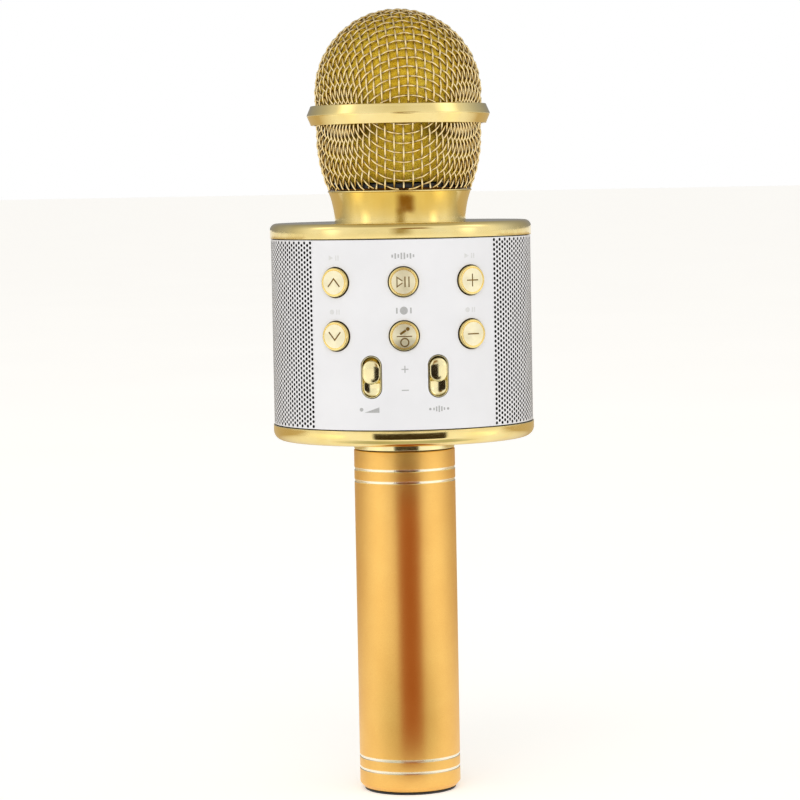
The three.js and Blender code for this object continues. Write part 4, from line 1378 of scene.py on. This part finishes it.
def slider_tray(side, azimuth):
    """A polished dish with a thin rim that a knob rides in."""
    half = SLOT[0] / 2
    shape = slot_hole(*SLOT)
    insets = [(0, DISH_FOOT), (0, DISH_RIM - 0.12), (0.05, DISH_RIM), (0.17, DISH_RIM)]
    insets.append((half - DISH_HALF_WIDTH, DISH_RIM - 0.1))
    for across in DISH_HALF_WIDTH * np.cos(np.linspace(0, 0.49 * math.pi, 18)):
        insets.append((half - across, dish_height(across)))
    layers = [(shape(-inset), z) for inset, z in insets]
    tray = loft(f"{side}_slider_dish", layers, [PALE_CHROME], facing(azimuth, SLIDER_HEIGHT), 40)
    publish(tray, "housing", "gold_chrome", f"{side}_slider_tray")


def slider_knob(side, azimuth):
    """A domed, polished knob that fits the dish's curve."""
    half = KNOB[0] / 2
    shape = slot_hole(*KNOB)
    insets = []
    for across in half * np.sin(np.linspace(0.02, 0.5, 10) * math.pi):
        insets.append((half - across, dish_height(across) + KNOB_GAP))
    for share in np.linspace(0, 0.98, 16):
        rise = (KNOB_CROWN - KNOB_SHOULDER) * math.sqrt(1 - (1 - share) ** 2)
        insets.append((half * share, KNOB_SHOULDER + rise))
    layers = [(shape(-inset), z) for inset, z in insets]
    matrix = facing(azimuth, SLIDER_HEIGHT + KNOB_REST[side])
    knob = loft(f"{side}_slider_knob_domed", layers, [PALE_CHROME], matrix, 40)
    publish(knob, f"{side}_slider", "gold_chrome", f"{side}_slider_knob")


# ---- Printed marks --------------------------------------------------------------------------
MARK_LEVELS = (0.02, -0.15)
VOLUME_ROW = 127.6
REAR_MARK_AZIMUTH = 169


def on_skin(azimuth, z, x, y, out):
    angle = math.radians(azimuth) + x / DRUM_RADIUS
    radius = DRUM_RADIUS + out
    return (radius * math.sin(angle), -radius * math.cos(angle), z + y)


def split_outline(outline, step=0.5):
    """The outline with points added so that it can bend with the skin."""
    points = []
    for i, a in enumerate(outline):
        b = outline[(i + 1) % len(outline)]
        count = max(1, math.ceil(math.dist(a, b) / step))
        points += [(a[0] + (b[0] - a[0]) * k / count, a[1] + (b[1] - a[1]) * k / count) for k in range(count)]
    return points


def printed(name, azimuth, z, shapes, ink=INK):
    """A thin printed mark of several outlines, wrapped on the skin."""
    points, faces = [], []
    for shape in shapes:
        outline = [Vector(p) for p in split_outline(shape)]
        count = len(outline)
        edges = [(i, (i + 1) % count) for i in range(count)]
        result = delaunay_2d_cdt(outline, edges, [list(range(count))], 1, 1e-7)
        spots, triangles = result[0], result[2]
        first, back = len(points), len(points) + len(spots)
        for out in MARK_LEVELS:
            points += [on_skin(azimuth, z, p.x, p.y, out) for p in spots]
        rim = {}
        for a, b, c in triangles:
            faces.append((first + a, first + b, first + c))
            faces.append((back + c, back + b, back + a))
            rim.update(dict.fromkeys(((a, b), (b, c), (c, a))))
        for a, b in rim:
            if (b, a) not in rim:
                faces.append((first + a, back + a, back + b, first + b))
    publish(piece(name, points, faces, [ink]), "housing", "satin_white")


def level_bars(levels, pitch, width):
    start = -(len(levels) - 1) * pitch / 2
    return [bar(start + i * pitch, -level / 2, level / 2, width) for i, level in enumerate(levels)]


def printed_marks():
    printed("plus_mark", 0, 140.3, [dash(1.1, 0.3), bar(0, 0.17, 1.1, 0.3), bar(0, -1.1, -0.17, 0.3)])
    printed("minus_mark", 0, 133.7, [dash(1.1, 0.3)])
    printed("scan_mark", 0, 175.8, level_bars([0.9, 1.7, 1.1, 2.0, 2.0, 1.1, 1.7, 0.9], 0.95, 0.5))
    dot_and_ring = [disc(0, 0, 0.62), ring_stroke(0, 0, 1.1, 0.3)]
    printed("record_mark", 0, 158.7, dot_and_ring + [bar(-2.2, -0.9, 0.9, 0.5), bar(2.2, -0.9, 0.9, 0.5)])
    wedge = [(-2.2, -0.8), (-0.6, 0), (-2.2, 0.8)]
    note = [bar(0.4, -0.8, 0.8, 0.4), bar(1.2, -0.8, 0.8, 0.4)]
    for side, azimuth in (("left", -KEY_COLUMN), ("right", KEY_COLUMN)):
        printed(f"{side}_upper_mark", azimuth, 175.4, [wedge] + note, FAINT_INK)
        printed(f"{side}_lower_mark", azimuth, 158.4, note + [disc(-1.4, 0, 0.8)], FAINT_INK)
    ramp = [(-2.4, -0.85), (2.4, -0.85), (2.4, 0.85)]
    printed("volume_mark", -SLIDER_AZIMUTH, VOLUME_ROW, [ramp, disc(-3.4, 0.1, 0.6)])
    waves = level_bars([0.8, 1.5, 2.0, 1.5, 0.8], 0.85, 0.45)
    printed("effect_mark", SLIDER_AZIMUTH, VOLUME_ROW, waves + [disc(-2.9, 0, 0.4), disc(2.9, 0, 0.4)])


def rear_marks():
    bolt = [(0.1, 1.1), (-0.8, -0.15), (-0.1, -0.15), (-0.2, -1.1), (0.8, 0.15), (0.1, 0.15)]
    printed("charge_mark", REAR_MARK_AZIMUTH, REAR_HEIGHTS["charge"], [bolt])
    band = ring_stroke(0, -0.1, 0.9, 0.26, 0, math.pi)
    cups = [bar(-0.9, -0.9, -0.1, 0.5), bar(0.9, -0.9, -0.1, 0.5)]
    printed("headphone_mark", REAR_MARK_AZIMUTH, REAR_HEIGHTS["jack"], [band] + cups)
    card = [(-0.7, -1), (0.7, -1), (0.7, 1), (-0.2, 1), (-0.7, 0.5)]
    printed("card_mark", REAR_MARK_AZIMUTH - 2, REAR_HEIGHTS["card"], [card])
    note = [disc(-0.5, -0.8, 0.42), bar(-0.18, -0.8, 1.0, 0.22), stroke([(-0.2, 0.95), (0.7, 0.6)], 0.3)]
    printed("music_mark", REAR_MARK_AZIMUTH - 3, REAR_HEIGHTS["usb"], note)
    printed("power_mark", REAR_MARK_AZIMUTH, REAR_HEIGHTS["power"], [bar(0, -0.9, 0.9, 0.3)])


# ---- Rear sockets ---------------------------------------------------------------------------
SOCKET_BACK = 31.1
SOCKET_MOUTH = 41.9
JACK_RIM = 42.2
JACK_FLOOR = 33.5
LENS_RADIUS = 1.2


def rear_matrix(name):
    return facing(180, REAR_HEIGHTS[name])


def socket(name, node, size, corner, wall, depth, tongue):
    """A metal shell with rolled edges, a black tongue inside and a steel floor."""
    width, height = size
    floor_level = SOCKET_MOUTH - depth
    outer = lambda inset: block_outline(width - 2 * inset, height - 2 * inset, max(0.06, corner - inset))
    rings = [
        (0, SOCKET_BACK), (0, SOCKET_MOUTH - 0.1), (0.08, SOCKET_MOUTH), (wall - 0.05, SOCKET_MOUTH),
        (wall, SOCKET_MOUTH - 0.1), (wall, floor_level),
    ]
    layers = [(outer(inset), z) for inset, z in rings]
    shell = loft(f"{name}_shell", layers, [STEEL], rear_matrix(name))
    blade_width, blade_height, shift = tongue
    outline = [(x, y + shift) for x, y in block_outline(blade_width, blade_height, 0.12)]
    tip = [(x * 0.97, shift + (y - shift) * 0.8) for x, y in outline]
    layers = [(outline, floor_level - 0.2), (outline, SOCKET_MOUTH - 1.4), (tip, SOCKET_MOUTH - 1.2)]
    blade = loft("tongue", layers, [BLACK], rear_matrix(name))
    publish(joined(f"{name}_socket_shell", [shell, blade]), "housing", "bright_steel", node)


def card_slot():
    outer = block_outline(14, 2.6, 0.3)
    inner = block_outline(11.4, 1.2, 0.15)
    layers = [(outer, SOCKET_BACK), (outer, 39.6), (inner, 39.6), (inner, 33)]
    slot = loft("card_slot_shell", layers, [STEEL], rear_matrix("card"))
    publish(slot, "housing", "bright_steel", "card_slot")


def audio_jack():
    outline = [Vector((0, SOCKET_BACK))]
    outline += eased([
        (3.9, SOCKET_BACK),
        (3.9, JACK_RIM, 0.3),
        (2.9, JACK_RIM, 0.1),
        (2.7, SOCKET_MOUTH, 0.1),
        (1.8, SOCKET_MOUTH, 0.15),
        (1.8, JACK_FLOOR),
    ])
    outline.append(Vector((0, JACK_FLOOR)))
    in_ring = lambda r, z: int(r < 2.85 and z > 41)
    jack = revolve("audio_jack_barrel", outline, [BLACK, STEEL], 64, rear_matrix("jack"), in_ring)
    publish(jack, "housing", "black_plastic", "audio_jack")


def status_lens():
    outline = [Vector((0, SOCKET_BACK)), Vector((LENS_RADIUS, SOCKET_BACK))]
    for angle in np.linspace(0, math.pi / 2, 8):
        outline.append(Vector((LENS_RADIUS * math.cos(angle), 42.3 + 0.3 * math.sin(angle))))
    outline[-1] = Vector((0, 42.6))
    lens = revolve("status_light_pipe", outline, [LENS], 32, rear_matrix("lens"))
    publish(lens, "housing", "clear_lens", "status_lens")


# ---- Handle ---------------------------------------------------------------------------------
GROOVES = (7.4, 11.3, 101.93, 105.81)
GROOVE_WIDTH = 1.0
GROOVE_DEPTH = 0.2
HANDLE_WALL = 2
INSERT_RADIUS = 13.9


def handle_tube():
    radius, floor_radius = HANDLE_RADIUS, HANDLE_RADIUS - GROOVE_DEPTH
    corners = [
        (radius - HANDLE_WALL, HANDLE_FOOT),
        (radius - 1.2, HANDLE_FOOT, 0.15),
        (radius, HANDLE_FOOT + 1.4, 0.4),
    ]
    for z in GROOVES:
        low, high = z - GROOVE_WIDTH / 2, z + GROOVE_WIDTH / 2
        corners += [(radius, low, 0.05), (floor_radius, low + 0.2, 0.05)]
        corners += [(floor_radius, high - 0.2, 0.05), (radius, high, 0.05)]
    corners += [(radius, HANDLE_TOP, 0.3), (radius - HANDLE_WALL, HANDLE_TOP)]
    in_groove = lambda r, z: int(r > radius - 1 and any(abs(z - g) < GROOVE_WIDTH / 2 for g in GROOVES))
    tube = revolve("satin_handle_tube", eased(corners, 3), [ANODISED, CUT_RING], 192, bands=in_groove)
    publish(tube, "housing", "gold_anodised", "handle_tube")


def handle_collar():
    bore, neck_radius, shoulder = 10, 13.2, 115.45
    outline = eased([
        (bore, RING_FOOT),
        (INSERT_RADIUS, RING_FOOT, 0.3),
        (INSERT_RADIUS, HANDLE_TOP + 0.3, 0.1),
        (RING_RADIUS, HANDLE_TOP + 0.3, 0.25),
        (RING_RADIUS - 0.1, shoulder, 0.35),
        (neck_radius, shoulder, 0.1),
        (neck_radius, RING_TOP, 0.2),
        (bore, RING_TOP),
    ])
    lathe("gold_handle_collar", outline, PALE_CHROME, 128, "gold_chrome", "handle_collar")


def base_cap():
    radius = radius_of("base_cap")
    bore, cup_floor, lip = 12.1, 2.5, 8
    rings = []
    for r in (5, 8, 11):
        rings += [(r - 0.5, 0, 0.08), (r - 0.4, 0.18, 0.05), (r, 0.18, 0.05), (r + 0.1, 0, 0.08)]
    outline = eased([
        (0, 0),
        *rings,
        (radius, 0, 0.35),
        (radius, HANDLE_FOOT - 0.3, 0.1),
        (INSERT_RADIUS, HANDLE_FOOT - 0.3),
        (INSERT_RADIUS, lip, 0.3),
        (bore, lip, 0.3),
        (bore, cup_floor, 0.4),
        (0, cup_floor),
    ])
    lathe("black_base_cap", outline, BLACK, 128, "black_plastic", "base_cap")


# ---- CAD nodes that keep their shape --------------------------------------------------------
CARRIED = {
    "core_frame": (GREY, "grey_plastic"),
    "control_board": (BOARD, "circuit_board"),
    "main_board": (BOARD, "circuit_board"),
    "port_board": (BOARD, "circuit_board"),
    "battery_carrier": (BLACK, "black_plastic"),
    "battery_cell": (WRAP, "cell_wrap"),
    "capsule_lead": (LEAD, "lead_insulation"),
    "battery_lead": (LEAD, "lead_insulation"),
}
for key in ("power", *KEYS):
    CARRIED[f"{key}_switch"] = (BLACK, "black_plastic")
for side in ("left", "right"):
    CARRIED[f"{side}_speaker_frame"] = (BLACK, "black_plastic")
    CARRIED[f"{side}_speaker_magnet"] = (STEEL, "bright_steel")
    CARRIED[f"{side}_speaker_cone"] = (CONE, "paper_cone")
    CARRIED[f"{side}_slider_pot"] = (BLACK, "black_plastic")


def finish_carried_nodes():
    for name, (material, slot) in CARRIED.items():
        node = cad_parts[name]
        for holder in node.material_slots:
            holder.link = "OBJECT"
            holder.material = material


# ---- Studio, in metres ----------------------------------------------------------------------
VIEW_AZIMUTH = -0.85
VIEW_DISTANCE = 1.039
VIEW_HEIGHT = 0.1995
VIEW_TILT = -3.95
VIEW_ROLL = -1.06
VIEW_PAN = 0.063
AIM_HEIGHT = 0.14
FLOOR_REACH = 60
CEILING = (0.48, 0.43, 0.32, 1)
# How bright the room is from behind (0) to in front (1), the two ends first.
ROOM_LEVELS = [
    (0.0, 0.28), (1.0, 0.72), (0.15, 0.38), (0.3, 0.55), (0.42, 0.8), (0.55, 1.02), (0.68, 1.5),
    (0.78, 1.25), (0.9, 0.85),
]
FLOOR_GLOW = (1.5, 1.42, 1.15)
HIGH_GLOW = (1.9, 1.85, 1.65)
SIDE_GLOW = (1.8, 1.75, 1.6)


def level_at(z, *spots):
    """Corners (x, y) at one height."""
    return [(x, y, z) for x, y in spots]


def upright(left, right, y, low, high):
    """The corners of a card that stands across the view."""
    return level_at(low, (left, y), (right, y)) + level_at(high, (right, y), (left, y))


# What the gold parts mirror: name, corners from the lower left, colour, softness.
CARDS = [
    ("tall_flag", upright(-0.45, 1.3, -2.3, 0.6, 1.9), (0.3, 0.17, 0.05), (0.3, 0.15)),
    ("front_flag", upright(-0.5, 0.5, -2.4, 0, 1), (0.42, 0.34, 0.18), (0.4, 0.2)),
    ("floor_card", level_at(0.004, (-0.08, -0.32), (0.12, -0.32), (0.34, -0.9), (-0.2, -0.9)),
     (0.3, 0.2, 0.08), (0.3, 0.2)),
    ("near_floor_card", level_at(0.004, (-0.14, -0.02), (0.14, -0.02), (0.18, -0.16), (-0.18, -0.16)),
     (0.53, 0.53, 0.4), (0.25, 0.2)),
    ("near_card", upright(-0.011, 0.0167, -0.032, 0.001, 0.107), (0.34, 0.085, 0.006), (0.12, 0.13)),
    ("upper_near_card", upright(-0.044, 0.06, -0.1, 0.082, 0.1175), (0.05, 0.035, 0.015), (0.05, 0.01)),
    ("slider_card", upright(-0.017, 0.0235, -0.065, 0.125, 0.146), (0.02, 0.015, 0.01), (0.05, 0.1)),
    ("left_floor_glow", level_at(0.005, (-0.25, 0.02), (-0.19, -0.16), (-1.23, -1.03), (-1.6, 0.14)),
     FLOOR_GLOW, (0.5, 0.2)),
    ("right_floor_glow", level_at(0.005, (0.18, -0.18), (0.25, 0), (1.6, 0), (1.13, -1.13)),
     FLOOR_GLOW, (0.5, 0.2)),
    ("rear_card", level_at(0.004, (-4, 0.02), (4, 0.02), (4, 6), (-4, 6)), (0.6, 0.47, 0.28), (0.15, 0.06)),
    ("left_glow", level_at(0.9, (-2.7, 0.3), (-2.7, -1.1)) + level_at(2.8, (-2, -1.1), (-2, 0.3)),
     HIGH_GLOW, (0.5, 0.5)),
    ("right_glow", level_at(0.9, (2.4, -1.4), (2.6, 0.1)) + level_at(2.8, (1.9, 0.1), (1.7, -1.4)),
     HIGH_GLOW, (0.5, 0.5)),
    ("left_side_glow", level_at(0, (-2.6, -0.7), (-2.2, -1.7)) + level_at(0.8, (-2.2, -1.7), (-2.6, -0.7)),
     SIDE_GLOW, (0.5, 0.4)),
    ("right_side_glow", level_at(0, (2.1, -1.8), (2.5, -0.9)) + level_at(0.8, (2.5, -0.9), (2.1, -1.8)),
     SIDE_GLOW, (0.5, 0.4)),
]


def camera():
    data = bpy.data.cameras.new("camera")
    data.sensor_width = 36
    data.lens = 143.4
    data.clip_start, data.clip_end = 0.05, 50
    obj = linked("camera", data)
    stand = turned(VIEW_AZIMUTH) @ Matrix.Translation((0, -VIEW_DISTANCE, VIEW_HEIGHT))
    obj.matrix_world = stand @ turned(VIEW_PAN) @ turned(90 + VIEW_TILT, "X") @ turned(VIEW_ROLL)
    bpy.context.scene.camera = obj


def studio_world():
    """A white room: it lights the object most from both sides and least from behind, and the
    camera sees it as plain white."""
    world = bpy.data.worlds.new("studio")
    world.use_nodes = True
    g = Graph(world.node_tree)
    around = g.split(g.add("ShaderNodeTexCoord", "Generated"))
    room = g.add("ShaderNodeValToRGB", "Color", {"Fac": g.remap(around["Y"], 0, 1, (1, -1))})
    ramp = room.node.color_ramp
    ramp.interpolation = "B_SPLINE"
    stops = ramp.elements
    elements = [stops[0], stops[1], *(stops.new(0.5) for _ in ROOM_LEVELS[2:])]
    for element, (place, level) in zip(elements, ROOM_LEVELS):
        element.position = place
        element.color = grey(level)
    overhead = g.remap(around["Z"], 0, 1, (0.6, 0.95), interpolation_type="SMOOTHSTEP")
    lit = g.blend(overhead, room, CEILING)
    seen = g.blend(g.add("ShaderNodeLightPath", "Is Camera Ray"), lit, grey(1))
    g.feed(g.tree.nodes["Background"].inputs["Color"], seen)
    bpy.context.scene.world = world


def flat_sheet(name, corners):
    mesh = bpy.data.meshes.new(name)
    mesh.from_pydata(corners, [], [(0, 1, 2, 3)])
    return linked(name, mesh)


def card(name, corners, colour, softness):
    """A studio card that only reflections see. Its left and right edges fade out over the first
    softness, as a share of its width, and its lower and upper edges over the second."""
    obj = flat_sheet(name, corners)
    obj.data.uv_layers.new().data.foreach_set("uv", [0, 0, 1, 0, 1, 1, 0, 1])
    g = Finish(name)
    spot = g.split(g.add("ShaderNodeTexCoord", "UV"))
    cover = 1.0
    for axis, fade in zip("XY", softness):
        inside = g.calc("SUBTRACT", 0.5, g.calc("ABSOLUTE", g.calc("SUBTRACT", spot[axis], 0.5)))
        cover = g.calc("MULTIPLY", cover, g.remap(inside, 0, 1, (0, fade)))
    g.set(
        Base_Color=grey(0),
        Specular_IOR_Level=0.0,
        Emission_Color=(*colour, 1),
        Emission_Strength=1.0,
        Alpha=cover,
    )
    obj.data.materials.append(g.material)
    obj.visible_camera = False
    obj.visible_diffuse = False
    obj.visible_shadow = False
    obj.visible_transmission = False


def softbox(name, azimuth, distance, height, size, power):
    data = bpy.data.lights.new(name, "AREA")
    data.shape = "RECTANGLE"
    data.size, data.size_y = size
    data.energy = power
    obj = linked(name, data)
    angle = math.radians(azimuth)
    obj.location = (distance * math.sin(angle), -distance * math.cos(angle), height)
    aim = Vector((0, 0, AIM_HEIGHT)) - obj.location
    obj.rotation_mode = "QUATERNION"
    obj.rotation_quaternion = aim.to_track_quat("-Z", "Y")
    obj.visible_camera = False
    obj.visible_glossy = False


def floor():
    reach = FLOOR_REACH
    obj = flat_sheet("floor", level_at(0, (-reach, -reach), (reach, -reach), (reach, reach), (-reach, reach)))
    g = Finish("pale_floor")
    g.set(
        Base_Color=g.blend(g.remap(g.noise(300, 2), 0, 1), grey(0.9), grey(0.92)),
        Roughness=0.8,
        Specular_IOR_Level=0.0,
        Emission_Color=grey(1),
        Emission_Strength=0.38,
    )
    obj.data.materials.append(g.material)


def studio():
    studio_world()
    floor()
    softbox("overhead_softbox", -10, 2.0, 2.6, (2.0, 2.0), 18)
    for entry in CARDS:
        card(*entry)


# ---- Making it ------------------------------------------------------------------------------
def grille_head():
    upper_net()
    lower_net()
    grille_hem()
    grille_band()
    foam_windscreen()


def neck():
    neck_collar()
    seal_ring()
    thread_ring()
    capsule_cradle()
    capsule_cushion()
    mic_capsule()


def drum():
    top_cap()
    bottom_cap()
    case_screw("front_case_screw", -SCREW_Y)
    case_screw("rear_case_screw", SCREW_Y)
    front_panel()
    rear_panel()
    for side in ("left", "right"):
        side_grille(side)
    for name, (azimuth, z) in {**KEYS, "power": (180, REAR_HEIGHTS["power"])}.items():
        key_cap(name, azimuth, z)
        key_gap_shade_ring(name, azimuth, z)
    for side, azimuth in (("left", -SLIDER_AZIMUTH), ("right", SLIDER_AZIMUTH)):
        slider_tray(side, azimuth)
        slider_knob(side, azimuth)
    printed_marks()


def rear():
    socket("usb", "usb_socket", (13.2, 5.8), 0.35, 0.4, 9, (11, 1.6, 0.9))
    socket("charge", "charging_socket", (7.8, 2.9), 0.75, 0.35, 5, (4, 0.6, 0.3))
    card_slot()
    audio_jack()
    status_lens()
    rear_marks()


def handle():
    handle_tube()
    handle_collar()
    base_cap()


grille_head()
neck()
drum()
rear()
handle()
finish_carried_nodes()
camera()
studio()
bpy.context.scene.view_settings.view_transform = "Standard"
